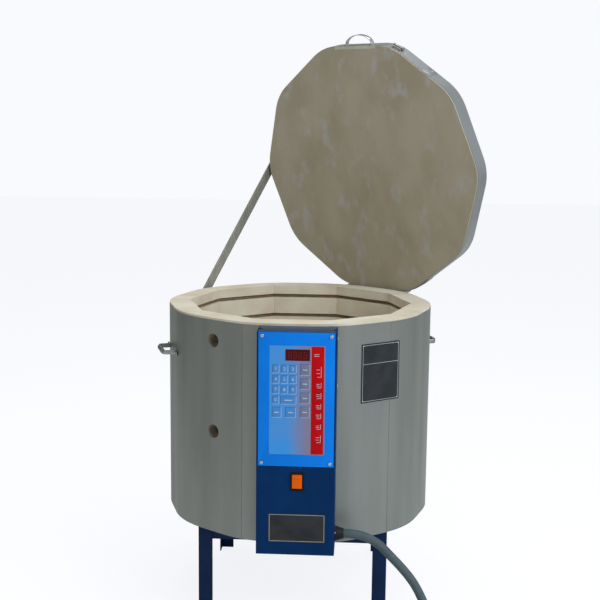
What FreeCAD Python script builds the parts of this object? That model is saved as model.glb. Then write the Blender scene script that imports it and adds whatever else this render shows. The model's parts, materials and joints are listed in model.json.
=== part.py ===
"""Ten-sided top-loading electric kiln on a welded stand, with its lid propped open.

Millimetres. +Z is up, the origin is on the floor under the kiln's axis, and the control
box faces -Y. An azimuth is counted from -Y towards +X, so the box is on face 0.
Lid pieces are drawn closed with the hinge at +Y, then turned into place.
"""
import FreeCAD, Part
import math
import os
import re
from FreeCAD import Matrix, Placement, Rotation, Vector

doc = FreeCAD.newDocument("electric_kiln")
sheet = doc.addObject("Spreadsheet::Sheet", "Sizes")
parts = {}

# Driving dimensions: alias, value, meaning
DIMENSIONS = [
    # Body
    ("stand_height", 254.0, "floor to the underside of the body"),
    ("body_apothem", 361.4, "kiln axis to each flat face of the jacket"),
    ("corner_radius", 240.0, "rounding of the jacket at its ten corners"),
    ("jacket_thickness", 0.9, "stainless steel sheet"),
    ("rim_proud", 5.7, "top of the brick wall above the top of the jacket"),
    ("wall_thickness", 63.5, "insulating brick wall"),
    ("course_height", 114.3, "one course of wall bricks"),
    ("course_count", 4.0, "courses of wall bricks"),
    ("brick_joint", 0.4, "dry joint between two bricks of a course"),
    ("slab_thickness", 63.5, "brick floor slab"),
    ("block_thickness", 55.0, "insulation block under the floor slab"),
    ("pan_thickness", 1.5, "steel pan under the insulation"),
    ("seat_gap", 0.3, "running clearance between curved or moving faces"),
    # Heating elements
    ("first_row_depth", 31.0, "rim to the first element row"),
    ("row_pitch", 60.0, "distance between element rows"),
    ("row_count", 7.0, "element rows"),
    ("groove_height", 10.5, "height of an element groove"),
    ("groove_depth", 17.0, "depth of an element groove"),
    ("coil_diameter", 8.4, "outer diameter of a coiled element"),
    ("coil_ends", 30.0, "gap between the two ends of a row"),
    ("lead_diameter", 3.2, "straight element lead"),
    ("lead_spacing", 36.0, "distance between the two leads of a row"),
    ("bush_diameter", 8.4, "porcelain bush in the wall"),
    ("bush_flange", 13.0, "flange of the bush outside the jacket"),
    ("bush_length", 30.0, "length of the bush"),
    # Peepholes and thermocouple
    ("peep_diameter", 36.0, "open peephole"),
    ("peep_offset", 6.0, "peephole centre from the middle of its face"),
    ("upper_peep_depth", 60.0, "rim to the upper peephole centre"),
    ("lower_peep_depth", 302.5, "rim to the lower peephole centre"),
    ("probe_diameter", 8.0, "thermocouple tube"),
    ("probe_offset", 52.0, "thermocouple from the middle of face 0"),
    ("probe_depth", 181.0, "rim to the thermocouple"),
    ("probe_reach", 28.0, "thermocouple tip beyond the wall's hot face"),
    # Control box
    ("box_width", 198.0, "control box"),
    ("box_depth", 84.0, "control box, from the jacket to its front"),
    ("box_offset", 18.0, "middle of the control box from the kiln's middle plane"),
    ("box_sheet", 1.2, "sheet of the control box"),
    ("box_bend", 3.0, "outer radius of its bends"),
    ("panel_margin", 4.5, "bare strip beside the panel plate"),
    ("panel_height", 340.0, "panel plate"),
    ("panel_sheet", 1.5, "panel plate thickness"),
    ("pad_width", 138.0, "membrane keypad"),
    ("pad_height", 276.0, "membrane keypad"),
    ("pad_drop", 33.0, "top of the box to the top of the keypad"),
    ("pad_sheet", 0.6, "membrane keypad thickness"),
    ("window_width", 61.0, "display window"),
    ("window_height", 29.0, "display window"),
    ("window_drop", 56.5, "top of the box to the middle of the window"),
    ("window_sheet", 2.0, "display window thickness"),
    ("window_shift", 2.5, "middle of the window from the middle of the box"),
    ("pad_shift", 2.0, "middle of the keypad from the middle of the box"),
    ("plate_corner", 2.0, "corner radius of the flat plates"),
    ("screw_inset", 9.0, "panel screw from the plate's edges"),
    ("screw_head", 8.0, "head of a panel screw"),
    ("rocker_drop", 39.5, "bottom of the panel plate to the middle of the power switch"),
    ("switch_shift", 4.0, "power switch and lower plate from the middle of the box"),
    ("rocker_wide", 25.0, "power rocker"),
    ("rocker_tall", 38.0, "power rocker"),
    ("bezel_wide", 34.0, "bezel of the power switch"),
    ("bezel_tall", 47.0, "bezel of the power switch"),
    ("bezel_proud", 2.5, "bezel in front of the box"),
    ("bezel_corner", 2.5, "corner radius of the bezel"),
    ("rocker_tilt", 9.0, "rocker angle from level, each way"),
    ("rocker_sink", 4.5, "rocker axle behind the front of the box"),
    ("rocker_curve", 61.0, "radius of the rocker's hollow face"),
    ("rocker_waist", 9.5, "rocker axle to the bottom of its hollow face"),
    ("low_plate_width", 144.0, "blank plate low on the box"),
    ("low_plate_height", 75.0, "blank plate low on the box"),
    ("low_plate_middle", 70.5, "body underside to the middle of the blank plate"),
    ("side_plate_width", 121.0, "blank plate on the jacket"),
    ("side_plate_height", 155.0, "blank plate on the jacket"),
    ("side_plate_middle", 441.5, "body underside to the middle of the side plate"),
    ("side_plate_shift", 17.0, "side plate from the middle of its face"),
    ("plate_sheet", 0.8, "thickness of the blank plates"),
    ("board_gap", 16.0, "box front to the circuit board"),
    ("board_width", 112.0, "circuit board"),
    ("board_height", 150.0, "circuit board"),
    ("board_sheet", 1.6, "circuit board thickness"),
    ("board_drop", 37.5, "middle of the window to the middle of the board"),
    ("post_diameter", 6.0, "post of the circuit board"),
    ("post_inset", 6.0, "post from the edges of the board"),
    ("vent_drop", 60.0, "top of the box to its first vent"),
    ("vent_pitch", 14.0, "distance between vents"),
    ("vent_height", 4.0, "height of a vent"),
    ("vent_count", 6.0, "vents in each side of the box"),
    ("slot_shift", 22.0, "middle of the lead opening in the back plate"),
    ("slot_width", 108.0, "lead opening in the back plate"),
    ("relay_spacing", 84.0, "distance between the two relays"),
    ("relay_middle", 105.0, "body underside to the middle of the relays"),
    ("relay_width", 46.0, "power relay"),
    ("relay_depth", 48.0, "power relay"),
    ("relay_height", 58.0, "power relay"),
    ("core_inset", 24.0, "side of the box to the middle of the transformer"),
    ("core_drop", 62.0, "top of the box to the middle of the transformer"),
    ("core_width", 40.0, "transformer core"),
    ("core_depth", 18.0, "transformer core"),
    ("core_height", 48.0, "transformer core"),
    ("winding_depth", 40.0, "transformer winding"),
    ("terminal_width", 96.0, "terminal block"),
    ("terminal_depth", 24.0, "terminal block"),
    ("terminal_height", 30.0, "terminal block"),
    ("terminal_middle", 32.0, "body underside to the middle of the terminal block"),
    ("terminal_pitch", 22.0, "distance between terminal screws"),
    ("terminal_count", 4.0, "terminal screws"),
    ("terminal_well", 10.0, "well of a terminal screw"),
    ("rivet_inset", 5.0, "rivet from the edges of the side plate"),
    ("rivet_head", 4.4, "head of a rivet"),
    ("rivet_proud", 1.2, "height of a rivet head"),
    # Cord
    ("cord_diameter", 23.0, "power cord"),
    ("gland_height", 45.0, "body underside to the cord gland"),
    ("gland_reach", 23.0, "cord gland beyond the box side"),
    ("gland_diameter", 38.0, "cord gland"),
    ("gland_nut", 5.0, "flange of the cord gland"),
    ("coil_radius", 126.0, "cord coil on the floor, to the cord's middle"),
    ("coil_leave", 130.0, "turn of the floor layer before the cord leaves it, degrees"),
    ("plug_lead", 86.0, "cord between the coil and the plug"),
    ("relief_length", 38.0, "strain relief of the plug"),
    ("plug_width", 52.0, "plug body"),
    ("plug_tall", 30.0, "plug body"),
    ("plug_length", 46.0, "plug body"),
    ("plug_corner", 9.0, "corner radius of the plug body"),
    ("plug_flange", 60.0, "flange of the plug"),
    ("flange_sheet", 6.0, "flange of the plug"),
    ("blade_spacing", 22.5, "distance between the two blades"),
    ("blade_width", 6.5, "plug blade"),
    ("blade_sheet", 2.0, "plug blade"),
    ("blade_length", 20.0, "plug blade"),
    ("earth_pin", 5.2, "earth pin of the plug"),
    # Lid
    ("lid_thickness", 50.8, "lid slab"),
    ("lid_overhang", 6.6, "lid beyond the jacket on every side"),
    ("lid_corner", 140.0, "rounding of the lid's corners"),
    ("band_thickness", 0.9, "stainless band round the lid"),
    ("band_margin", 5.0, "brick left bare below the band"),
    ("lid_open", 79.0, "angle of the open lid above the rim, degrees"),
    ("hinge_offset", 8.0, "hinge axis outside the jacket face"),
    ("hinge_drop", 2.5, "hinge axis below the top of the jacket"),
    ("pin_diameter", 7.0, "hinge pin"),
    ("pin_play", 0.1, "radial play on the hinge pin"),
    ("knuckle_diameter", 13.0, "hinge knuckle"),
    ("leaf_sheet", 2.5, "hinge leaf thickness"),
    ("knuckle_inner", 39.0, "middle plane to the inner end of a body knuckle"),
    ("knuckle_split", 79.0, "middle plane to the split of the knuckles"),
    ("knuckle_outer", 110.0, "middle plane to the outer end of a lid knuckle"),
    ("knuckle_gap", 0.5, "end gap between two knuckles"),
    ("lid_leaf_height", 30.0, "lid leaf of the hinge"),
    ("lid_leaf_reach", 180.0, "middle plane to each end of the lid leaf, round the corners"),
    ("web_low", 18.0, "lid's underside to the top of the knuckle webs"),
    ("body_leaf_height", 50.0, "body leaf of the hinge"),
    ("body_leaf_drop", 36.0, "hinge axis to the middle of the body leaf"),
    ("body_web", 14.0, "height of the webs under the body knuckles"),
    ("bow_width", 88.0, "lid handle, between the middles of its legs"),
    ("bow_reach", 27.0, "lid handle, band to the middle of the grip"),
    ("bow_rod", 7.0, "lid handle rod"),
    ("bow_bend", 18.0, "lid handle bend radius"),
    ("bow_foot", 2.5, "washer under each leg of the lid handle"),
    ("clamp_spacing", 24.0, "distance between the two lugs of the band clamp"),
    ("clamp_sheet", 6.0, "lug of the band clamp"),
    ("clamp_reach", 12.0, "lug of the band clamp beyond the lid's corner"),
    ("clamp_height", 26.0, "lug of the band clamp"),
    ("clamp_bolt", 6.0, "bolt of the band clamp"),
    ("clamp_length", 52.0, "bolt of the band clamp"),
    ("clamp_head", 11.0, "head of the clamp's bolt"),
    # Stay
    ("stay_rise", 25.0, "stay pivot above the lid's underside"),
    ("stay_width", 30.0, "stay bar"),
    ("stay_sheet", 3.0, "stay bar thickness"),
    ("stay_stand", 8.0, "stay bar outside the lid's corner"),
    ("bracket_reach", 66.0, "lid corner to each end of the stay bracket"),
    ("bracket_pad", 3.5, "boss of the stay bracket on the corner"),
    ("stay_pin", 8.0, "stay pivot screw"),
    ("stop_pin", 8.0, "stop screw in the foot of the stay"),
    ("stop_reach", 5.0, "stop screw beyond each side of the bar"),
    ("screw_sheet", 4.0, "head of the stay pivot screw"),
    ("guide_length", 36.0, "guide along the stay"),
    ("guide_wall", 3.0, "walls of the guide"),
    ("guide_stud", 10.0, "stud that carries the guide"),
    ("guide_boss", 20.0, "boss of the guide"),
    # Handles on the jacket
    ("grip_span", 120.0, "side handle between its screws"),
    ("grip_reach", 34.0, "side handle, jacket to its outer face"),
    ("grip_strap", 3.0, "side handle strap thickness"),
    ("grip_wide", 22.0, "side handle strap width"),
    ("grip_bend", 12.0, "side handle strap bend"),
    ("grip_screw", 9.0, "head of a side handle screw"),
    ("sleeve_depth", 13.0, "moulded grip of a side handle"),
    ("sleeve_height", 28.0, "moulded grip of a side handle"),
    ("sleeve_corner", 4.0, "corner radius of the moulded grip"),
    ("grip_height", 456.0, "body underside to the middle of the side handles"),
    # Stand
    ("leg_wide", 38.0, "angle iron of the stand"),
    ("leg_sheet", 3.2, "angle iron thickness"),
    ("stand_half", 254.0, "kiln axis to the outer face of the stand"),
]

for row, (alias, number_value, meaning) in enumerate(DIMENSIONS, start=1):
    sheet.set(f"A{row}", meaning)
    sheet.set(f"B{row}", str(number_value))
    sheet.setAlias(f"B{row}", alias)
doc.recompute()
ALIASES = {alias for alias, number_value, meaning in DIMENSIONS}

# Places and sizes that follow from the driving dimensions
DERIVED = {
    "wall_height": "course_height * course_count",
    "jacket_height": "pan_thickness + block_thickness + slab_thickness + wall_height - rim_proud",
    "jacket_top": "stand_height + jacket_height",
    "pan_top": "stand_height + pan_thickness",
    "block_top": "pan_top + block_thickness",
    "floor_top": "block_top + slab_thickness",
    "rim": "floor_top + wall_height",
    "brick_outside": "body_apothem - jacket_thickness - seat_gap",
    "brick_corner": "corner_radius - jacket_thickness - seat_gap",
    "chamber": "brick_outside - wall_thickness",
    "box_front": "0 - body_apothem - box_depth",
    "box_back": "0 - body_apothem - seat_gap",
    "box_left": "box_offset - box_width / 2",
    "box_right": "box_offset + box_width / 2",
    "box_inside": "box_front + box_sheet",
    "panel_width": "box_width - 2 * panel_margin",
    "panel_bottom": "jacket_top - panel_height",
    "panel_face": "box_front - panel_sheet",
    "window_middle": "jacket_top - window_drop",
    "pad_middle": "jacket_top - pad_drop - pad_height / 2",
    "switch_middle": "panel_bottom - rocker_drop",
    "board_face": "box_inside + board_gap",
    "gland_middle": "stand_height + gland_height",
    "gland_y": "0 - body_apothem - box_depth / 2",
    "lid_low": "rim + seat_gap",
    "lid_middle": "lid_low + lid_thickness / 2",
    "band_low": "lid_low + band_margin",
    "lid_apothem": "body_apothem + lid_overhang",
    "slab_apothem": "lid_apothem - band_thickness - seat_gap",
    "slab_corner": "lid_corner - band_thickness - seat_gap",
    "hinge_y": "body_apothem + hinge_offset",
    "hinge_z": "jacket_top - hinge_drop",
    "corner_x": "(lid_apothem - lid_corner) / cos(18 deg) + lid_corner",
    "jacket_corner_x": "(body_apothem - corner_radius) / cos(18 deg) + corner_radius",
    "stay_x": "corner_x + stay_stand",
    "stay_z": "lid_low + stay_rise",
    "pivot_lift": "stay_z - hinge_z",
    "stud_z": "hinge_z - pivot_lift",
    "pivot_radius": "sqrt(hinge_y * hinge_y + pivot_lift * pivot_lift)",
    "pivot_lead": "atan(pivot_lift / hinge_y)",
    "stay_chord": "2 * pivot_radius * sin(lid_open * 1 deg / 2 + pivot_lead)",
    "stop_place": "stay_chord + guide_length / 2 + stop_pin / 2 + seat_gap",
    "window_x": "box_offset + window_shift",
    "switch_x": "box_offset + switch_shift",
    "rocker_y": "box_front + rocker_sink",
    "bay": "box_back - box_sheet",
    "box_middle_y": "(box_front + box_back) / 2",
    "box_middle_z": "stand_height + jacket_height / 2",
}


def formula(text):
    """The text with each named value replaced by its cell or by its own formula."""
    def swap(match):
        word = match.group(0)
        if word in ALIASES:
            return "Sizes." + word
        if word in DERIVED:
            return "(" + formula(DERIVED[word]) + ")"
        return word
    return re.sub(r"[a-z][a-z0-9_]*", swap, str(text))


def number(text):
    """The formula's present value as a plain number."""
    result = sheet.evalExpression(formula(text))
    return float(getattr(result, "Value", result))


def bind(thing, settings):
    """Bind each named property of the object to its formula."""
    for name, text in settings.items():
        thing.setExpression(name, formula(text))


def place(thing, x=0, y=0, z=0):
    """Bind the object's place to three formulas."""
    bind(thing, {".Placement.Base.x": x, ".Placement.Base.y": y, ".Placement.Base.z": z})


AXIS_TURNS = {
    "+Z": Rotation(),
    "+X": Rotation(Vector(0, 1, 0), 90),
    "-Y": Rotation(Vector(1, 0, 0), 90),
    "+Y": Rotation(Vector(1, 0, 0), -90),
    "-X": Rotation(Vector(0, 1, 0), -90),
}


def box(name, low, size):
    """A box from its low corner and its three lengths."""
    thing = doc.addObject("Part::Box", name)
    bind(thing, {"Length": size[0], "Width": size[1], "Height": size[2]})
    place(thing, *low)
    return thing


def middle_box(name, middle, size):
    """A box about a middle point."""
    low = [f"({m}) - ({s}) / 2" for m, s in zip(middle, size)]
    return box(name, low, size)


def rod(name, radius, length, start, axis="+Z"):
    """A cylinder from its start along an axis."""
    thing = doc.addObject("Part::Cylinder", name)
    thing.Placement = Placement(Vector(), AXIS_TURNS[axis])
    bind(thing, {"Radius": radius, "Height": length})
    place(thing, *start)
    return thing


def cone(name, start_radius, end_radius, length, start, axis="+Z"):
    """A cone frustum from its start along an axis."""
    thing = doc.addObject("Part::Cone", name)
    thing.Placement = Placement(Vector(), AXIS_TURNS[axis])
    bind(thing, {"Radius1": start_radius, "Radius2": end_radius, "Height": length})
    place(thing, *start)
    return thing


def fuse(name, things):
    """One shape of several."""
    if len(things) == 1:
        return things[0]
    thing = doc.addObject("Part::MultiFuse", name)
    thing.Shapes = things
    return thing


def cut(name, base, tools):
    """The base less all the tools."""
    thing = doc.addObject("Part::Cut", name)
    thing.Base = base
    thing.Tool = fuse(name + "_tools", tools)
    return thing


def group(name, things):
    """Separate solids kept together as one piece."""
    thing = doc.addObject("Part::Compound", name)
    thing.Links = things
    return thing


def turned(name, thing, azimuth):
    """A copy of the object turned about the kiln's axis to another face."""
    copy = doc.addObject("Part::Compound", name)
    copy.Links = [thing]
    bind(copy, {".Placement.Rotation.Angle": azimuth})
    return copy


def edges_along(shape, direction):
    """Names of the straight edges that run along a direction."""
    names = []
    for index, edge in enumerate(shape.Edges, start=1):
        if edge.Curve.TypeId != "Part::GeomLine":
            continue
        if abs(abs(edge.tangentAt(edge.FirstParameter).dot(direction)) - 1) < 1e-6:
            names.append(f"Edge{index}")
    return names


def rounded(body, feature, radius, names):
    """Round the named edges of a body's feature."""
    fillet = body.newObject("PartDesign::Fillet", body.Name + "_round")
    fillet.Base = (feature, names)
    bind(fillet, {"Radius": radius})
    body.Tip = fillet
    return fillet


def decagon(name, apothem, low, tall):
    """A plain ten-sided prism with a flat face towards -Y."""
    thing = doc.addObject("Part::Prism", name)
    thing.Polygon = 10
    bind(thing, {"Circumradius": f"({apothem}) / cos(18 deg)", "Height": tall})
    place(thing, z=low)
    return thing


def rounded_decagon(name, apothem, corner, low, tall):
    """A ten-sided prism whose upright corners are rounded."""
    body = doc.addObject("PartDesign::Body", name)
    prism = body.newObject("PartDesign::AdditivePrism", name + "_prism")
    prism.Polygon = 10
    bind(prism, {"Circumradius": f"({apothem}) / cos(18 deg)", "Height": tall})
    doc.recompute()
    rounded(body, prism, corner, edges_along(prism.Shape, Vector(0, 0, 1)))
    place(body, z=low)
    return body


def wrapped(name, apothem, corner, low, tall, window):
    """A strap of hinge sheet that follows a rounded ten-sided wall inside a window."""
    outer = rounded_decagon(name + "_outside", f"{apothem} + leaf_sheet",
                            f"{corner} + leaf_sheet", low, tall)
    inner = rounded_decagon(name + "_inside", apothem, corner, f"{low} - leaf_sheet",
                            f"{tall} + 2 * leaf_sheet")
    thing = doc.addObject("Part::MultiCommon", name)
    thing.Shapes = [cut(name + "_ring", outer, [inner]), window]
    return thing


def rounded_box(name, middle, size, radius, direction=Vector(0, 0, 1)):
    """A box about a middle point with its edges along one direction rounded."""
    body = doc.addObject("PartDesign::Body", name)
    block = body.newObject("PartDesign::AdditiveBox", name + "_block")
    bind(block, {"Length": size[0], "Width": size[1], "Height": size[2]})
    doc.recompute()
    rounded(body, block, radius, edges_along(block.Shape, direction))
    place(body, *[f"({m}) - ({s}) / 2" for m, s in zip(middle, size)])
    return body


def part(label, thing, placement=None):
    """Name a finished sub-part and, where given, bind its place."""
    if placement and thing.TypeId in ("PartDesign::Body", "Part::Box"):
        thing = group(label + "_placed", [thing])
    thing.Label = label
    if placement:
        thing.setExpression("Placement", formula(placement))
    parts[label] = thing
    return thing


ON_FACE = "placement(vector(0; 0; 0); rotation(vector(0; 0; 1); {azimuth}))"
LID_TURN = ON_FACE.format(azimuth="0 - 36")
LID_SWING = ("placement(vector(0; 0; 0); rotation(vector(1; 0; 0); 0 - lid_open);"
             " vector(0; hinge_y; hinge_z))")
LID_PLACE = LID_TURN + " * " + LID_SWING
STAY_PLACE = (LID_PLACE + " * placement(vector(0; 0; 0); rotation(vector(1; 0; 0);"
              " lid_open / 2); vector(0; 0; stay_z))")
GUIDE_PLACE = (LID_TURN + " * placement(vector(0; 0; 0); rotation(vector(1; 0; 0);"
               " 0 - lid_open / 2); vector(0; 0; stud_z))")


def make_stand():
    """Four angle-iron legs under a square angle-iron frame."""
    corners = {"front_left": (-1, -1), "front_right": (1, -1),
               "rear_left": (-1, 1), "rear_right": (1, 1)}
    for corner, (side, depth) in corners.items():
        low_x = "stand_half - leg_wide" if side > 0 else "0 - stand_half"
        low_y = "stand_half - leg_wide" if depth > 0 else "0 - stand_half"
        web_x = "stand_half - leg_sheet" if side > 0 else "0 - stand_half"
        web_y = "stand_half - leg_sheet" if depth > 0 else "0 - stand_half"
        tall = "stand_height - leg_sheet"
        across = box(corner + "_web", (low_x, web_y, 0), ("leg_wide", "leg_sheet", tall))
        along = box(corner + "_flange", (web_x, low_y, 0), ("leg_sheet", "leg_wide", tall))
        part("stand_leg_" + corner, fuse("leg_" + corner, [across, along]))
    outer = "2 * stand_half - 2 * leg_sheet - 2 * seat_gap"
    inner = "2 * stand_half - 2 * leg_wide"
    table = middle_box("frame_table", (0, 0, "stand_height - leg_sheet / 2"),
                       ("2 * stand_half", "2 * stand_half", "leg_sheet"))
    table_hole = middle_box("frame_hole", (0, 0, "stand_height"), (inner, inner, "leg_wide"))
    apron = middle_box("frame_apron", (0, 0, "stand_height - leg_wide / 2"),
                       (outer, outer, "leg_wide"))
    apron_hole = middle_box("frame_apron_hole", (0, 0, "stand_height - leg_wide / 2"),
                            (outer + " - 2 * leg_sheet", outer + " - 2 * leg_sheet",
                             "3 * leg_wide"))
    ring = cut("frame_ring", apron, [apron_hole])
    top = cut("frame_flat", table, [table_hole])
    part("stand_frame", fuse("frame", [ring, top]))


def make_floor():
    """Pan, insulation block and brick slab that close the body's underside."""
    part("base_pan", rounded_decagon("pan", "brick_outside", "brick_corner",
                                     "stand_height", "pan_thickness"))
    part("floor_insulation", rounded_decagon("block", "brick_outside", "brick_corner",
                                             "pan_top", "block_thickness"))
    part("floor_slab", rounded_decagon("slab", "brick_outside", "brick_corner",
                                       "block_top", "slab_thickness"))


def wall_openings(name, radius_gap, start, reach):
    """Rods through the wall where the bushes, the thermocouple and the peepholes are."""
    tools = []
    for index in range(int(number("row_count"))):
        for side in (-1, 1):
            tools.append(rod(f"{name}_bush_{index}_{side}",
                             f"bush_diameter / 2 + {radius_gap}", reach,
                             (f"{side} * lead_spacing / 2", start, row_height(index)), "-Y"))
    tools.append(rod(name + "_probe", f"probe_diameter / 2 + {radius_gap}", reach,
                     ("probe_offset", start, "rim - probe_depth"), "-Y"))
    for level in ("upper", "lower"):
        peep = rod(f"{name}_{level}", "peep_diameter / 2", reach,
                   ("peep_offset", start, f"rim - {level}_peep_depth"), "-Y")
        tools.append(turned(f"{name}_{level}_peep", peep, -36))
    return tools


def row_height(index):
    """Height of the middle of an element row, counted from the rim."""
    return f"rim - first_row_depth - row_pitch * {index}"


def make_wall():
    """Courses of ten bricks with element grooves, and the jacket round them."""
    grooves = []
    for index in range(int(number("row_count"))):
        grooves.append(decagon(f"groove_{index}", "chamber + groove_depth",
                               f"{row_height(index)} - groove_height / 2", "groove_height"))
    joints = []
    for index in range(5):
        joint = middle_box(f"joint_{index}", (0, 0, "(rim + floor_top) / 2"),
                           ("3 * body_apothem", "brick_joint", "2 * jacket_height"))
        joints.append(turned(f"joint_turned_{index}", joint, 36 * index))
    chamber = decagon("chamber_space", "chamber", "floor_top", "rim - floor_top + seat_gap")
    openings = wall_openings("brick", "seat_gap", "0 - chamber + groove_depth", "2 * wall_thickness")
    space = fuse("wall_space", [chamber] + grooves + joints + openings)
    for index in range(int(number("course_count"))):
        course = rounded_decagon(f"course_{index}", "brick_outside", "brick_corner",
                                 f"rim - course_height * {index + 1}", "course_height")
        part(f"brick_course_{index + 1}", cut(f"course_cut_{index}", course, [space]))
    outside = rounded_decagon("jacket_outside", "body_apothem", "corner_radius",
                              "stand_height", "jacket_height")
    inside = rounded_decagon("jacket_inside", "body_apothem - jacket_thickness",
                             "corner_radius - jacket_thickness",
                             "stand_height - seat_gap", "jacket_height + 2 * seat_gap")
    holes = wall_openings("jacket", "seat_gap", "0 - chamber", "3 * wall_thickness")
    part("jacket", cut("jacket_sheet", outside, [inside] + holes))


def element_shape(index):
    """One element row: a tube round the groove whose leads go out through face 0."""
    radius = number("coil_diameter") / 2
    apothem = number("chamber + groove_depth / 2")
    level = number(row_height(index)) - number("groove_height") / 2 + radius + number("seat_gap")
    corner = apothem / math.cos(math.radians(18))
    ends = number("coil_ends") / 2
    points = [Vector(ends, -apothem, level)]
    for step in range(10):
        angle = math.radians(18 + 36 * step)
        points.append(Vector(corner * math.sin(angle), -corner * math.cos(angle), level))
    points.append(Vector(-ends, -apothem, level))
    spine = Part.makePolygon(points)
    section = Part.Wire([Part.makeCircle(radius, points[0], Vector(1, 0, 0))])
    sweep = Part.BRepOffsetAPI.MakePipeShell(spine)
    sweep.setTransitionMode(1)
    sweep.add(section)
    sweep.build()
    sweep.makeSolid()
    shape = sweep.shape()
    outer_end = number("body_apothem + bush_length / 2 + lead_spacing / 4")
    for side in (-1, 1):
        start = Vector(side * number("lead_spacing") / 2, -apothem, number(row_height(index)))
        lead = Part.makeCylinder(number("lead_diameter") / 2, outer_end - apothem, start,
                                 Vector(0, -1, 0))
        shape = shape.fuse(lead)
    return shape.removeSplitter()


def make_elements():
    """Heating elements with their porcelain bushes, and the thermocouple."""
    bushes = []
    for index in range(int(number("row_count"))):
        coil = doc.addObject("Part::Feature", f"element_{index + 1}")
        coil.Shape = element_shape(index)
        part(f"element_coil_{index + 1}", coil)
        for side in (-1, 1):
            name = f"bush_{index}_{side}"
            x = f"{side} * lead_spacing / 2"
            start = "0 - body_apothem + bush_length / 2"
            stem = rod(name + "_stem", "bush_diameter / 2", "bush_length",
                       (x, start, row_height(index)), "-Y")
            flange = rod(name + "_flange", "bush_flange / 2", "bush_length / 8",
                         (x, "0 - body_apothem - seat_gap", row_height(index)), "-Y")
            bore = rod(name + "_bore", "lead_diameter / 2 + seat_gap", "2 * bush_length",
                       (x, "0 - body_apothem + bush_length", row_height(index)), "-Y")
            bushes.append(cut(name, fuse(name + "_solid", [stem, flange]), [bore]))
    part("element_bushes", group("bushes", bushes))
    level = "rim - probe_depth"
    tube_start = "0 - chamber + probe_reach"
    head_start = "0 - body_apothem - bush_length / 6"
    tube = rod("probe_tube", "probe_diameter / 2", f"{tube_start} - ({head_start})",
               ("probe_offset", tube_start, level), "-Y")
    tip = doc.addObject("Part::Sphere", "probe_tip")
    bind(tip, {"Radius": "probe_diameter / 2"})
    place(tip, "probe_offset", tube_start, level)
    part("thermocouple_tube", fuse("probe", [tube, tip]))
    head = rounded_box("probe_head", ("probe_offset", f"{head_start} - bush_length / 3", level),
                       ("bush_length", "bush_length * 2 / 3", "bush_length * 4 / 3"),
                       "probe_diameter / 2", Vector(0, 1, 0))
    part("thermocouple_head", head)


def make_control_box():
    """Folded steel box, its back plate, and the panel with keypad and display window."""
    depth = "box_depth - seat_gap"
    outer = rounded_box("box_outer", ("box_offset", "box_middle_y", "box_middle_z"),
                        ("box_width", depth, "jacket_height"), "box_bend")
    inner = middle_box("box_inner", ("box_offset", "box_middle_y + box_sheet", "box_middle_z"),
                       ("box_width - 2 * box_sheet", depth, "jacket_height - 2 * box_sheet"))
    window = middle_box("box_window", ("window_x", "box_front", "window_middle"),
                        ("window_width", "6 * box_sheet", "window_height"))
    switch = middle_box("box_switch", ("switch_x", "box_front", "switch_middle"),
                        ("bezel_wide - 2 * bezel_proud", "6 * box_sheet",
                         "bezel_tall - 2 * bezel_proud"))
    gland = rod("box_gland", "cord_diameter / 2 + box_sheet", "6 * box_sheet",
                ("box_right - 3 * box_sheet", "gland_y", "gland_middle"), "+X")
    slots = []
    for index in range(int(number("vent_count"))):
        level = f"jacket_top - vent_drop - vent_pitch * {index}"
        slots.append(middle_box(f"vent_{index}", ("box_offset", "box_front + box_depth / 2", level),
                                ("2 * box_width", "box_depth / 2", "vent_height")))
    part("control_box_cover", cut("box_shell", outer, [inner, window, switch, gland] + slots))
    plate = middle_box("back_sheet", ("box_offset", "box_back - box_sheet / 2", "box_middle_z"),
                       ("box_width - 2 * box_sheet - 2 * seat_gap", "box_sheet",
                        "jacket_height - 2 * box_sheet - 2 * seat_gap"))
    slot = middle_box("back_slot",
                      ("slot_shift", "box_back",
                       "rim - first_row_depth - row_pitch * (row_count - 1) / 2"),
                      ("slot_width", "6 * box_sheet",
                       "row_pitch * (row_count - 1) + 2 * bush_flange"))
    part("control_box_back", cut("back_plate", plate, [slot]))
    panel = rounded_box("panel_blank", ("box_offset", "box_front - panel_sheet / 2",
                                        "jacket_top - panel_height / 2"),
                        ("panel_width", "panel_sheet", "panel_height"), "box_sheet",
                        Vector(0, 1, 0))
    panel_window = middle_box("panel_window", ("window_x", "box_front", "window_middle"),
                              ("window_width", "6 * panel_sheet", "window_height"))
    part("control_panel_plate", cut("panel_cut", panel, [panel_window]))
    pad = rounded_box("pad_blank", ("box_offset + pad_shift", "panel_face - pad_sheet / 2",
                                    "pad_middle"),
                      ("pad_width", "pad_sheet", "pad_height"), "plate_corner", Vector(0, 1, 0))
    pad_window = middle_box("pad_window", ("window_x", "panel_face", "window_middle"),
                            ("window_width", "6 * pad_sheet", "window_height"))
    part("membrane_keypad", cut("pad_cut", pad, [pad_window]))
    glass = middle_box("window_glass", ("window_x", "panel_face + window_sheet / 2",
                                        "window_middle"),
                       ("window_width - 2 * seat_gap", "window_sheet",
                        "window_height - 2 * seat_gap"))
    part("display_window", glass)
    screws = []
    for side in (-1, 1):
        for level in ("jacket_top - screw_inset", "panel_bottom + screw_inset"):
            name = f"panel_screw_{len(screws)}"
            x = f"box_offset + {side} * (panel_width / 2 - screw_inset)"
            head = doc.addObject("Part::Sphere", name)
            head.Angle1 = 0
            head.Placement = Placement(Vector(), AXIS_TURNS["-Y"])
            bind(head, {"Radius": "screw_head / 2"})
            place(head, x, "panel_face", level)
            screws.append(head)
    part("panel_screws", group("panel_screw_set", screws))
    part("lower_plate", rounded_box("low_plate", ("switch_x", "box_front - plate_sheet / 2",
                                                  "stand_height + low_plate_middle"),
                                    ("low_plate_width", "plate_sheet", "low_plate_height"),
                                    "plate_corner", Vector(0, 1, 0)))


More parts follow.
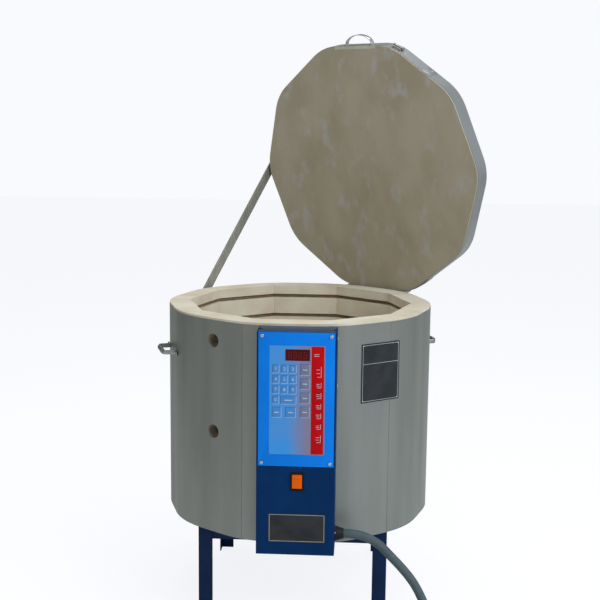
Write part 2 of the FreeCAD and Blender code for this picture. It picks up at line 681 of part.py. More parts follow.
def make_switch():
    """Power switch: a bezel with its housing in the box, and the rocker in it."""
    ring = rounded_box("bezel_ring", ("switch_x", "box_front - bezel_proud / 2", "switch_middle"),
                       ("bezel_wide", "bezel_proud", "bezel_tall"), "bezel_corner",
                       Vector(0, 1, 0))
    can = middle_box("bezel_can", ("switch_x", "box_front + rocker_wide / 2", "switch_middle"),
                     ("bezel_wide - 2 * bezel_proud - 2 * seat_gap", "rocker_wide",
                      "bezel_tall - 2 * bezel_proud - 2 * seat_gap"))
    well = middle_box("bezel_well", ("switch_x", "box_front", "switch_middle"),
                      ("rocker_wide + 2 * seat_gap", "2 * (rocker_wide - 2 * bezel_proud)",
                       "rocker_tall + 2 * seat_gap"))
    part("switch_bezel", cut("bezel", fuse("bezel_solid", [ring, can]), [well]))
    # A drum about the axle, hollowed in front so that one end stands proud when tilted
    drum = rod("rocker_drum", "rocker_tall / 2", "rocker_wide",
               ("switch_x - rocker_wide / 2", "rocker_y", "switch_middle"), "+X")
    hollow = rod("rocker_hollow", "rocker_curve", "2 * rocker_wide",
                 ("switch_x - rocker_wide", "rocker_y - rocker_waist - rocker_curve",
                  "switch_middle"), "+X")
    back = middle_box("rocker_back", ("switch_x", "rocker_y + rocker_sink + rocker_tall / 2",
                                      "switch_middle"),
                      ("2 * rocker_wide", "rocker_tall", "2 * rocker_tall"))
    part("power_rocker", cut("rocker", drum, [hollow, back]),
         "placement(vector(0; 0; 0); rotation(vector(1; 0; 0); rocker_tilt);"
         " vector(0; rocker_y; switch_middle))")


def make_box_inside():
    """Circuit board, relays, transformer and terminal block inside the control box."""
    board_middle = "(window_middle - board_drop)"
    board = middle_box("board_sheet_body",
                       ("box_offset", "board_face + board_sheet / 2", board_middle),
                       ("board_width", "board_sheet", "board_height"))
    posts = []
    for side in (-1, 1):
        for up in (-1, 1):
            posts.append(rod(f"post_{side}_{up}", "post_diameter / 2", "board_gap",
                             (f"box_offset + {side} * (board_width / 2 - post_inset)",
                              "board_face",
                              f"{board_middle} + {up} * (board_height / 2 - post_inset)"), "-Y"))
    part("board_posts", group("board_post_set", posts))
    module = middle_box("module", ("window_x", "board_face - board_gap * 0.4", "window_middle"),
                        ("window_width - post_inset", "board_gap * 0.8",
                         "window_height - post_inset"))
    part("controller_board", fuse("board", [board, module]))
    relays = []
    for side in (-1, 1):
        relays.append(rounded_box(f"relay_{side}",
                                  (f"box_offset + {side} * relay_spacing / 2",
                                   "bay - relay_depth / 2", "stand_height + relay_middle"),
                                  ("relay_width", "relay_depth", "relay_height"),
                                  "box_bend", Vector(0, 1, 0)))
    part("power_relays", group("relay_pair", relays))
    middle = ("box_left + core_inset", "bay - winding_depth / 2", "jacket_top - core_drop")
    core = middle_box("core", middle, ("core_width", "core_depth", "core_height"))
    winding = rounded_box("winding", middle,
                          ("core_width * 0.7", "winding_depth", "core_height * 0.7"), "box_bend")
    part("control_transformer", fuse("transformer", [core, winding]))
    level = "stand_height + terminal_middle"
    block = middle_box("terminal_base", ("box_offset", "bay - terminal_depth / 2", level),
                       ("terminal_width", "terminal_depth", "terminal_height"))
    wells = []
    for index in range(int(number("terminal_count"))):
        wells.append(rod(f"terminal_well_{index}", "terminal_well / 2", "terminal_depth",
                         (f"box_offset + terminal_pitch * ({index} - (terminal_count - 1) / 2)",
                          "bay - terminal_depth * 2 / 3", level), "-Y"))
    part("terminal_block", cut("terminals", block, wells))


def make_jacket_fittings():
    """Blank plate on the jacket with its rivets, and the two lifting handles."""
    middle = "stand_height + side_plate_middle"
    plate = rounded_box("side_plate", ("side_plate_shift",
                                       "0 - body_apothem - seat_gap - plate_sheet / 2", middle),
                        ("side_plate_width", "plate_sheet", "side_plate_height"),
                        "plate_corner", Vector(0, 1, 0))
    part("side_plate", plate, ON_FACE.format(azimuth="36"))
    rivets = []
    for side in (-1, 1):
        for up in (-1, 1):
            rivets.append(rod(f"rivet_{side}_{up}", "rivet_head / 2", "rivet_proud",
                              (f"side_plate_shift + {side} * (side_plate_width / 2 - rivet_inset)",
                               "0 - body_apothem - seat_gap - plate_sheet",
                               f"{middle} + {up} * (side_plate_height / 2 - rivet_inset)"), "-Y"))
    part("side_plate_rivets", group("rivet_set", rivets), ON_FACE.format(azimuth="36"))
    for side, azimuth in (("left", "0 - 72"), ("right", "108")):
        make_handle(side, azimuth)


def make_handle(side, azimuth):
    """A bent strap handle with a moulded grip on one face of the jacket."""
    level = "stand_height + grip_height"
    face = "0 - body_apothem - seat_gap"
    outer = rounded_box(side + "_strap_outer", (0, f"{face} - grip_reach / 2", level),
                        ("grip_span - grip_wide", "grip_reach", "grip_wide"), "grip_bend")
    inner = rounded_box(side + "_strap_inner", (0, f"{face} - grip_reach / 2 + grip_strap", level),
                        ("grip_span - grip_wide - 2 * grip_strap", "grip_reach",
                         "2 * grip_wide"), "grip_bend - grip_strap")
    trim = box(side + "_strap_trim", ("0 - grip_span", f"{face} - grip_bend - grip_strap",
                                      f"{level} - grip_wide"),
               ("2 * grip_span", "grip_bend + grip_strap", "2 * grip_wide"))
    bow = cut(side + "_bow", outer, [inner, trim])
    pieces = [bow]
    for end in (-1, 1):
        leg_x = f"{end} * (grip_span / 2 - grip_wide / 2 - grip_strap / 2)"
        leg = middle_box(f"{side}_leg_{end}",
                         (leg_x, f"{face} - (grip_bend + grip_strap) / 2", level),
                         ("grip_strap", "grip_bend + grip_strap", "grip_wide"))
        foot = middle_box(f"{side}_foot_{end}",
                          (f"{end} * grip_span / 2", f"{face} - grip_strap / 2", level),
                          ("grip_wide + grip_strap", "grip_strap", "grip_wide"))
        screw = rod(f"{side}_screw_{end}", "grip_screw / 2", "grip_strap",
                    (f"{end} * (grip_span / 2 + grip_strap)", f"{face} - grip_strap", level),
                    "-Y")
        pieces += [leg, foot, screw]
    part(side + "_handle_strap", fuse(side + "_strap", pieces),
         ON_FACE.format(azimuth=azimuth))
    sleeve = rounded_box(side + "_sleeve", (0, f"{face} - grip_reach + grip_strap / 2", level),
                         ("grip_span / 2", "sleeve_depth", "sleeve_height"), "sleeve_corner",
                         Vector(1, 0, 0))
    core = middle_box(side + "_core", (0, f"{face} - grip_reach + grip_strap / 2", level),
                      ("grip_span", "grip_strap", "grip_wide"))
    part(side + "_handle_grip", cut(side + "_grip", sleeve, [core]),
         ON_FACE.format(azimuth=azimuth))


def make_lid():
    """Brick lid slab with its stainless band, band clamp and bow handle."""
    part("lid_slab", rounded_decagon("lid_brick", "slab_apothem", "slab_corner", "lid_low",
                                     "lid_thickness"), LID_PLACE)
    band_tall = "lid_thickness - band_margin"
    outside = rounded_decagon("band_outside", "lid_apothem", "lid_corner", "band_low", band_tall)
    inside = rounded_decagon("band_inside", "lid_apothem - band_thickness",
                             "lid_corner - band_thickness", "band_low - band_margin",
                             "lid_thickness + band_margin")
    part("lid_band", cut("band", outside, [inside]), LID_PLACE)
    # The clamp that tightens the band stands on its corner 18 degrees right of the handle
    lugs = []
    for side in (-1, 1):
        lugs.append(middle_box(f"clamp_lug_{side}",
                               (f"{side} * clamp_spacing / 2", "0 - corner_x", "lid_middle"),
                               ("clamp_sheet", "2 * clamp_reach", "clamp_height")))
    bolt_y = "0 - corner_x - clamp_reach / 2 - seat_gap"
    bolt = rod("clamp_bolt", "clamp_bolt / 2", "clamp_length",
               ("0 - clamp_length / 2", bolt_y, "lid_middle"), "+X")
    head = rod("clamp_head", "clamp_head / 2", "clamp_sheet",
               ("clamp_length / 2 - clamp_sheet", bolt_y, "lid_middle"), "+X")
    clamp = turned("clamp_turned", fuse("clamp_solid", lugs + [bolt, head]), 18)
    seat = rounded_decagon("clamp_seat", "lid_apothem + seat_gap", "lid_corner + seat_gap",
                           "lid_low", "lid_thickness")
    part("lid_band_clamp", cut("clamp", clamp, [seat]), LID_PLACE)
    part("lid_handle", make_bow(), LID_PLACE)


def make_bow():
    """A bent rod handle on the front face of the lid band."""
    face = "0 - lid_apothem"
    legs_x = "bow_width / 2"
    corner_y = f"{face} - bow_reach + bow_bend"
    pieces = [rod("bow_grip", "bow_rod / 2", "bow_width - 2 * bow_bend",
                  ("0 - bow_width / 2 + bow_bend", f"{face} - bow_reach", "lid_middle"), "+X")]
    for side in (-1, 1):
        bend = doc.addObject("Part::Torus", f"bow_bend_{side}")
        bend.Angle3 = 90
        turn = 180 if side < 0 else 270
        bend.Placement = Placement(Vector(), Rotation(Vector(0, 0, 1), turn))
        bind(bend, {"Radius1": "bow_bend", "Radius2": "bow_rod / 2"})
        place(bend, f"{side} * ({legs_x} - bow_bend)", corner_y, "lid_middle")
        leg = rod(f"bow_leg_{side}", "bow_rod / 2", f"bow_reach - bow_bend - seat_gap",
                  (f"{side} * {legs_x}", f"{face} - seat_gap", "lid_middle"), "-Y")
        foot = rod(f"bow_foot_{side}", "bow_rod", "bow_foot",
                   (f"{side} * {legs_x}", face, "lid_middle"), "-Y")
        pieces += [bend, leg, foot]
    return fuse("bow", pieces)


def knuckle(name, low_x, high_x):
    """A hinge barrel about the hinge axis between two places along it."""
    return rod(name, "knuckle_diameter / 2", f"({high_x}) - ({low_x})",
               (low_x, "hinge_y", "hinge_z"), "+X")


def make_hinge():
    """Two hinge leaves, bent round the lid and the jacket, with knuckles on one pin."""
    lid_window = box("lid_leaf_window", ("0 - lid_leaf_reach", 0, "lid_low"),
                     ("2 * lid_leaf_reach", "2 * lid_apothem", "lid_thickness"))
    lid_pieces = [wrapped("lid_strap", "lid_apothem", "lid_corner",
                          "lid_middle - lid_leaf_height / 2", "lid_leaf_height", lid_window)]
    webs = []
    for side in (-1, 1):
        low, high = "knuckle_split + knuckle_gap / 2", "knuckle_outer"
        if side < 0:
            low, high = f"0 - ({high})", f"0 - ({low})"
        lid_pieces.append(knuckle(f"lid_knuckle_{side}", low, high))
        webs.append(box(f"lid_web_{side}", (low, "lid_apothem - 2 * leaf_sheet", "hinge_z"),
                        (f"({high}) - ({low})", "3 * leaf_sheet", "lid_low + web_low - hinge_z")))
    lid_seat = rounded_decagon("lid_leaf_seat", "lid_apothem", "lid_corner", "lid_low",
                               "lid_thickness")
    lid_pieces.append(cut("lid_webs", fuse("lid_web_pair", webs), [lid_seat]))
    bore = rod("lid_bore", "pin_diameter / 2 + pin_play", "4 * knuckle_outer",
               ("0 - 2 * knuckle_outer", "hinge_y", "hinge_z"), "+X")
    part("lid_hinge_leaf", cut("lid_leaf", fuse("lid_leaf_solid", lid_pieces), [bore]), LID_PLACE)
    leaf_low = "hinge_z - body_leaf_drop - body_leaf_height / 2"
    body_window = box("body_leaf_window", ("0 - knuckle_split", 0, "stand_height"),
                      ("2 * knuckle_split", "2 * body_apothem", "jacket_height"))
    body_pieces = [wrapped("body_strap", "body_apothem + seat_gap", "corner_radius + seat_gap",
                           leaf_low, "body_leaf_height", body_window)]
    webs = []
    for side in (-1, 1):
        low, high = "knuckle_inner", "knuckle_split - knuckle_gap / 2"
        if side < 0:
            low, high = f"0 - ({high})", f"0 - ({low})"
        body_pieces.append(knuckle(f"body_knuckle_{side}", low, high))
        webs.append(box(f"body_web_{side}", (low, "body_apothem - 2 * leaf_sheet",
                                             "hinge_z - body_web"),
                        (f"({high}) - ({low})", "hinge_offset + 2 * leaf_sheet", "body_web")))
    body_seat = rounded_decagon("body_leaf_seat", "body_apothem + seat_gap",
                                "corner_radius + seat_gap", "stand_height", "jacket_height")
    body_pieces.append(cut("body_webs", fuse("body_web_pair", webs), [body_seat]))
    body_bore = rod("body_bore", "pin_diameter / 2 + pin_play", "4 * knuckle_outer",
                    ("0 - 2 * knuckle_outer", "hinge_y", "hinge_z"), "+X")
    part("body_hinge_leaf", cut("body_leaf", fuse("body_leaf_solid", body_pieces), [body_bore]),
         LID_TURN)
    pin = rod("pin_shaft", "pin_diameter / 2", "2 * knuckle_outer + leaf_sheet",
              ("0 - knuckle_outer - leaf_sheet", "hinge_y", "hinge_z"), "+X")
    head = rod("pin_head", "pin_diameter * 0.75", "leaf_sheet",
               ("0 - knuckle_outer - leaf_sheet - seat_gap", "hinge_y", "hinge_z"), "+X")
    part("hinge_pin", fuse("pin", [pin, head]), LID_TURN)


def make_stay():
    """Lid stay: a bar pivoted on the lid's corner that slides through a swivelling guide."""
    window = box("bracket_window", ("0 - 2 * lid_apothem", "0 - bracket_reach", "lid_low"),
                 ("2 * lid_apothem", "2 * bracket_reach", "lid_thickness"))
    strap = wrapped("bracket_strap", "lid_apothem", "lid_corner", "stay_z - stay_width / 2",
                    "stay_width", window)
    pad = box("bracket_pad", ("0 - corner_x - bracket_pad", "0 - stay_width / 2",
                              "stay_z - stay_width / 2"),
              ("bracket_pad", "stay_width", "stay_width"))
    hole = rod("bracket_hole", "stay_pin / 2 + pin_play", "2 * stay_width",
               ("0 - corner_x + stay_width", 0, "stay_z"), "-X")
    part("stay_bracket", cut("bracket", fuse("bracket_solid", [strap, pad]), [hole]), LID_PLACE)
    screw = rod("pivot_shaft", "stay_pin / 2", "stay_stand + stay_sheet",
                ("0 - corner_x - seat_gap", 0, "stay_z"), "-X")
    head = rod("pivot_head", "stay_pin", "screw_sheet",
               ("0 - stay_x - stay_sheet - seat_gap", 0, "stay_z"), "-X")
    washer = rod("pivot_washer", "stay_pin", "stay_stand - bracket_pad - seat_gap",
                 ("0 - corner_x - bracket_pad", 0, "stay_z"), "-X")
    part("stay_pivot_screw", fuse("pivot", [screw, head, washer]), LID_PLACE)
    foot = "stay_z - stop_place"
    bar = box("bar_flat", ("0 - stay_x - stay_sheet", "0 - stay_width / 2", foot),
              ("stay_sheet", "stay_width", "stop_place"))
    ends = [rod("bar_top", "stay_width / 2", "stay_sheet", ("0 - stay_x", 0, "stay_z"), "-X"),
            rod("bar_foot", "stay_width / 2", "stay_sheet", ("0 - stay_x", 0, foot), "-X")]
    holes = [rod("bar_pivot", "stay_pin / 2 + seat_gap", "4 * stay_sheet",
                 ("0 - stay_x + stay_sheet", 0, "stay_z"), "-X"),
             rod("bar_stop", "stop_pin / 2", "4 * stay_sheet",
                 ("0 - stay_x + stay_sheet", 0, foot), "-X")]
    part("stay_bar", cut("bar", fuse("bar_solid", [bar] + ends), holes), STAY_PLACE)
    stop = [rod("stop_shaft", "stop_pin / 2", "stay_sheet", ("0 - stay_x", 0, foot), "-X"),
            rod("stop_head", "stop_pin / 2", "stop_reach",
                ("0 - stay_x - stay_sheet", 0, foot), "-X"),
            rod("stop_nut", "stop_pin / 2", "stop_reach", ("0 - stay_x", 0, foot), "+X")]
    part("stay_stop_screw", fuse("stop", stop), STAY_PLACE)
    slot_x = "stay_sheet + 2 * seat_gap"
    slot_y = "stay_width + 2 * seat_gap"
    middle_x = "0 - stay_x - stay_sheet / 2"
    sleeve = middle_box("guide_sleeve", (middle_x, 0, "stud_z"),
                        (slot_x + " + 2 * guide_wall", slot_y + " + 2 * guide_wall",
                         "guide_length"))
    passage = middle_box("guide_passage", (middle_x, 0, "stud_z"),
                         (slot_x, slot_y, "2 * guide_length"))
    back = "0 - stay_x + seat_gap + guide_wall"
    boss_reach = "stay_x - seat_gap - guide_wall - jacket_corner_x - leaf_sheet - 2 * seat_gap"
    boss = rod("guide_boss_rod", "guide_boss / 2", boss_reach, (back, 0, "stud_z"), "+X")
    bore = rod("guide_bore", "guide_stud / 2 + pin_play", "2 * guide_boss",
               ("0 - stay_x + seat_gap", 0, "stud_z"), "+X")
    part("stay_guide", cut("guide", fuse("guide_solid", [sleeve, boss]), [passage, bore]),
         GUIDE_PLACE)
    flange = rod("stud_flange", "guide_boss / 2 + guide_wall", "leaf_sheet",
                 ("0 - jacket_corner_x - seat_gap", 0, "stud_z"), "-X")
    stud = rod("stud_shaft", "guide_stud / 2",
               "stay_x - jacket_corner_x - 3 * seat_gap",
               ("0 - jacket_corner_x - seat_gap", 0, "stud_z"), "-X")
    part("guide_stud", fuse("stud", [flange, stud]), LID_TURN)


# Corners of the power cord's route down to its coil: along X and Y from the gland's mouth,
# and the height above the floor
CORD_ROUTE = [(0, 0, "gland_middle"), (20, 0, "gland_middle"),
              (53, 0, "gland_middle * 0.981"), (90, -1, "gland_middle * 0.918"),
              (119, -3, "gland_middle * 0.819"), (150, -6, "gland_middle * 0.715"),
              (180, -10, "gland_middle * 0.597"), (203, -15, "gland_middle * 0.456"),
              (221, -39, "gland_middle * 0.33"), (230, -81, "gland_middle * 0.219"),
              (244, -138.6, "cord_diameter * 3 / 2"), (242, -208.6, "cord_diameter * 3 / 2")]
CORNER_SHARE = 0.45


def tube_along(points, radius):
    """A tube along straight runs joined by tangent arcs."""
    edges = []
    start = points[0]
    for before, corner, after in zip(points, points[1:], points[2:]):
        arrive = corner - before
        leave = after - corner
        half_turn = arrive.getAngle(leave) / 2
        trim = CORNER_SHARE * min(arrive.Length, leave.Length)
        bend = trim / math.tan(half_turn)
        arrive.normalize()
        leave.normalize()
        enter = corner - arrive * trim
        out = corner + leave * trim
        bisector = (leave - arrive).normalize()
        middle = corner + bisector * bend * (1 / math.cos(half_turn) - 1)
        edges.append(Part.LineSegment(start, enter).toShape())
        edges.append(Part.Arc(enter, middle, out).toShape())
        start = out
    edges.append(Part.LineSegment(start, points[-1]).toShape())
    spine = Part.Wire(edges)
    section = Part.Wire([Part.makeCircle(radius, points[0], points[1] - points[0])])
    return spine.makePipeShell([section], True, False)


def make_cord():
    """Gland, cord, its coil on the floor and the plug."""
    radius = number("cord_diameter") / 2
    at = ("box_right", "gland_y", "gland_middle")
    nut = rod("gland_nut", "gland_diameter / 2", "gland_nut", at, "+X")
    sleeve = cone("gland_sleeve", "gland_diameter / 2 - box_sheet",
                  "cord_diameter / 2 + box_sheet", "gland_reach - gland_nut",
                  ("box_right + gland_nut", "gland_y", "gland_middle"), "+X")
    stem = rod("gland_stem", "cord_diameter / 2", "gland_reach / 2", at, "-X")
    inner = rod("gland_inner", "gland_diameter / 2 - box_sheet", "gland_nut",
                ("box_right - box_sheet", "gland_y", "gland_middle"), "-X")
    part("cord_gland", fuse("gland", [nut, sleeve, stem, inner]))
    mouth_x, mouth_y = number("box_right + gland_reach"), number("gland_y")
    route = [Vector(mouth_x + x, mouth_y + y, number(level)) for x, y, level in CORD_ROUTE]
    cord = doc.addObject("Part::Feature", "cord")
    cord.Shape = tube_along(route, radius)
    part("power_cord", cord)
    make_coil(route[-1], (route[-1] - route[-2]).normalize(), radius)


def make_coil(end, heading, radius):
    """Half a turn on top of a full turn on the floor, joined into one closed solid."""
    reach = number("coil_radius")
    centre = end + Vector(heading.y, -heading.x, 0) * reach
    first = end - centre
    turn_start = math.degrees(math.atan2(first.y, first.x))
    half = Part.Arc(end, centre + Vector(first.y, -first.x, 0), centre - first).toShape()
    section = Part.Wire([Part.makeCircle(radius, end, heading)])
    top_half = Part.Wire([half]).makePipeShell([section], True, False)
    cap = Part.makeSphere(radius, centre - first)
    centre.z = radius
    floor_ring = Part.makeTorus(reach, radius, centre)
    # A band of the cord's own width joins the two layers where they touch
    band_half = radius * math.cos(math.radians(45))
    band = Part.makeCylinder(reach + band_half, end.z - radius, centre, Vector(0, 0, 1), 180)
    band = band.cut(Part.makeCylinder(reach - band_half, end.z - radius, centre))
    band.rotate(centre, Vector(0, 0, 1), turn_start - 180)
    leave_angle = math.radians(turn_start - number("coil_leave"))
    leave = centre + Vector(math.cos(leave_angle), math.sin(leave_angle), 0) * reach
    leave_heading = Vector(math.sin(leave_angle), -math.cos(leave_angle), 0)
    stub = Part.makeCylinder(radius - number("seat_gap"), number("plug_lead"), leave, leave_heading)
    coil = doc.addObject("Part::Feature", "coil")
    coil.Shape = floor_ring.fuse([top_half, cap, band, stub])
    part("cord_coil", coil)
    make_plug(leave + leave_heading * number("plug_lead"), leave_heading, radius)


def make_plug(start, heading, radius):
    """The plug that lies on the floor at the end of the cord, drawn along +Z, +Y upwards."""
    size = {alias: number(alias) for alias in ALIASES
            if alias.split("_")[0] in ("plug", "relief", "flange", "blade", "earth")}
    low = number("seat_gap") - radius
    relief = Part.makeCylinder(radius - number("seat_gap"), size["relief_length"])
    width, tall = size["plug_width"], size["plug_tall"]
    body = Part.makeBox(width, tall, size["plug_length"],
                        Vector(-width / 2, low, size["relief_length"]))
    names = edges_along(body, Vector(0, 0, 1))
    body = body.makeFillet(size["plug_corner"], [body.Edges[int(name[4:]) - 1] for name in names])
    face = size["relief_length"] + size["plug_length"]
    flange = Part.makeBox(size["plug_flange"], tall, size["flange_sheet"],
                          Vector(-size["plug_flange"] / 2, low, face))
    blades = []
    for side in (-1, 1):
        corner = Vector(side * size["blade_spacing"] / 2 - size["blade_width"] / 2,
                        low + tall / 3, face + size["flange_sheet"])
        blades.append(Part.makeBox(size["blade_width"], size["blade_sheet"],
                                   size["blade_length"], corner))
    earth = Part.makeCylinder(size["earth_pin"] / 2, size["blade_length"] + size["blade_sheet"],
                              Vector(0, low + tall * 2 / 3, face + size["flange_sheet"]))
    plug = doc.addObject("Part::Feature", "plug")
    plug.Shape = relief.fuse([body, flange, earth] + blades).removeSplitter()
    part("cord_plug", plug)
    side = Vector(0, 0, 1).cross(heading)
    plug.Placement = Placement(Matrix(side.x, 0, heading.x, start.x, side.y, 0, heading.y, start.y,
                                      side.z, 1, heading.z, start.z, 0, 0, 0, 1))


def check_and_export():
    """Recompute, test every object, and write one file for each sub-part."""
    doc.recompute()
    for thing in doc.Objects:
        if "Invalid" in thing.State or "Error" in thing.State:
            raise RuntimeError(f"{thing.Label} failed: {thing.State}")
    os.makedirs("parts", exist_ok=True)
    for label, thing in parts.items():
        shape = thing.Shape
        if shape.isNull() or not shape.isValid() or not shape.Solids:
            raise RuntimeError(f"{label} has no valid solid")
        shape.exportStep(f"parts/{label}.step")
    print(len(parts), "sub-parts")


make_stand()
make_floor()
make_wall()
make_elements()
make_control_box()
make_switch()
make_box_inside()
make_jacket_fittings()
make_lid()
make_hinge()
make_stay()
make_cord()
check_and_export()
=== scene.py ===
"""Studio view of a ten-sided electric kiln with its lid propped open.

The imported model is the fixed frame. Metres, +Z up, the control box faces -Y. Pieces of the
lid are made as if it were closed with its hinge at +Y, then turned to where it stands open.
"""
from __future__ import annotations

import json
import logging
import math
from collections.abc import Callable, Sequence
from dataclasses import dataclass
from enum import Enum

import bpy
from mathutils import Matrix, Vector

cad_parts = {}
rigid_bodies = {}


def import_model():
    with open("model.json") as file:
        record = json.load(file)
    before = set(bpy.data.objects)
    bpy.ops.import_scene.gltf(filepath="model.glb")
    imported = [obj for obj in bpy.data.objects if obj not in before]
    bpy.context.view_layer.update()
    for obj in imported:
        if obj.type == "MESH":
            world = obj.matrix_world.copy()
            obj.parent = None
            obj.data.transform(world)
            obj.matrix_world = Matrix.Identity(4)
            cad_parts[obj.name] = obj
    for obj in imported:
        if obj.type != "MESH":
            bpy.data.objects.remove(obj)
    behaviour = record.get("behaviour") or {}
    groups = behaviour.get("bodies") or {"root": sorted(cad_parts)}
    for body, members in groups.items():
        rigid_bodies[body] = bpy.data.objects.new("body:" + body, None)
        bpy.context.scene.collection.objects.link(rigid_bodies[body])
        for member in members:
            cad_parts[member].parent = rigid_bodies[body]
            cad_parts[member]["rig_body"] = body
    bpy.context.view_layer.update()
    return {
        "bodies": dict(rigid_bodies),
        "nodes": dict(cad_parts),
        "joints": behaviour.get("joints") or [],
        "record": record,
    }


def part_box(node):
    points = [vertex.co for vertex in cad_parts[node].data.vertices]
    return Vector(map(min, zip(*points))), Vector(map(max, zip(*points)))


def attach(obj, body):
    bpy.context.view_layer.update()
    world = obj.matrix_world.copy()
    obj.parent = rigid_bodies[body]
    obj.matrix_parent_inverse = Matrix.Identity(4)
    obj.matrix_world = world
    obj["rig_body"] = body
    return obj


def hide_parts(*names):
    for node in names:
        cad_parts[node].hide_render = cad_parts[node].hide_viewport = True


LOG = logging.getLogger("kiln")
Rgb = tuple[float, float, float]
Piece = bpy.types.Object
# Colour that darkens the small pits: painted shade in the pores.
PORE_SHADE_TONE = (0.05, 0.04, 0.03, 1.0)
SCUFF_TONE = (0.50, 0.50, 0.52, 1.0)


def srgb(red: float, green: float, blue: float) -> Rgb:
    """Turn a colour of 0 to 255 into the shader's linear numbers.

    Args:
        red: Red, 0 to 255.
        green: Green, 0 to 255.
        blue: Blue, 0 to 255.

    Returns:
        The linear colour.
    """
    def one(value: float) -> float:
        """Linear value of one channel."""
        share = value / 255
        return share / 12.92 if share <= 0.04045 else ((share + 0.055) / 1.055) ** 2.4
    return one(red), one(green), one(blue)


def turn_z(degrees: float) -> Matrix:
    """Rotation about the kiln's axis."""
    return Matrix.Rotation(math.radians(degrees), 4, "Z")


@dataclass(frozen=True)
class KilnSizes:
    """Sizes that several sub-assemblies share, in metres."""

    apothem: float = 0.3614
    corner_radius: float = 0.240
    jacket_top: float = 0.8255
    stand: float = 0.254
    lid_apothem: float = 0.3680
    lid_low: float = 0.8315
    lid_middle: float = 0.8569
    lid_open: float = 79.0
    lid_turn: float = -36.0
    hinge_y: float = 0.3694
    hinge_z: float = 0.8230
    panel_face: float = -0.4469

    @property
    def lid_place(self) -> Matrix:
        """From the closed lid's own frame to the open lid.

        Returns:
            The move of the lid's pieces.
        """
        hinge = Matrix.Translation((0, self.hinge_y, self.hinge_z))
        swing = Matrix.Rotation(math.radians(-self.lid_open), 4, "X")
        return turn_z(self.lid_turn) @ hinge @ swing @ hinge.inverted()

    @staticmethod
    def edge_place(apothem: float, radius: float, azimuth: float) -> Matrix:
        """From a face's own frame to a point of the rounded ten-sided outline.

        Args:
            apothem: From the axis to a flat of the outline.
            radius: Rounding of its corners.
            azimuth: Direction of the point from the axis, in degrees.

        Returns:
            The place, with -Y pointing out of the outline.
        """
        face = round(azimuth / 36) * 36
        off = math.radians(azimuth - face)
        towards = Vector((math.sin(off), -math.cos(off)))
        inner = apothem - radius
        centre = Vector((math.copysign(inner * math.tan(math.radians(18)), off), -inner))
        along = towards.dot(centre)
        point = towards * (along + math.sqrt(along ** 2 - centre.length_squared + radius ** 2))
        tilt = math.degrees(math.atan2(point.x - centre.x, centre.y - point.y))
        return turn_z(face) @ Matrix.Translation((point.x, point.y, 0)) @ turn_z(tilt)


SIZES = KilnSizes()


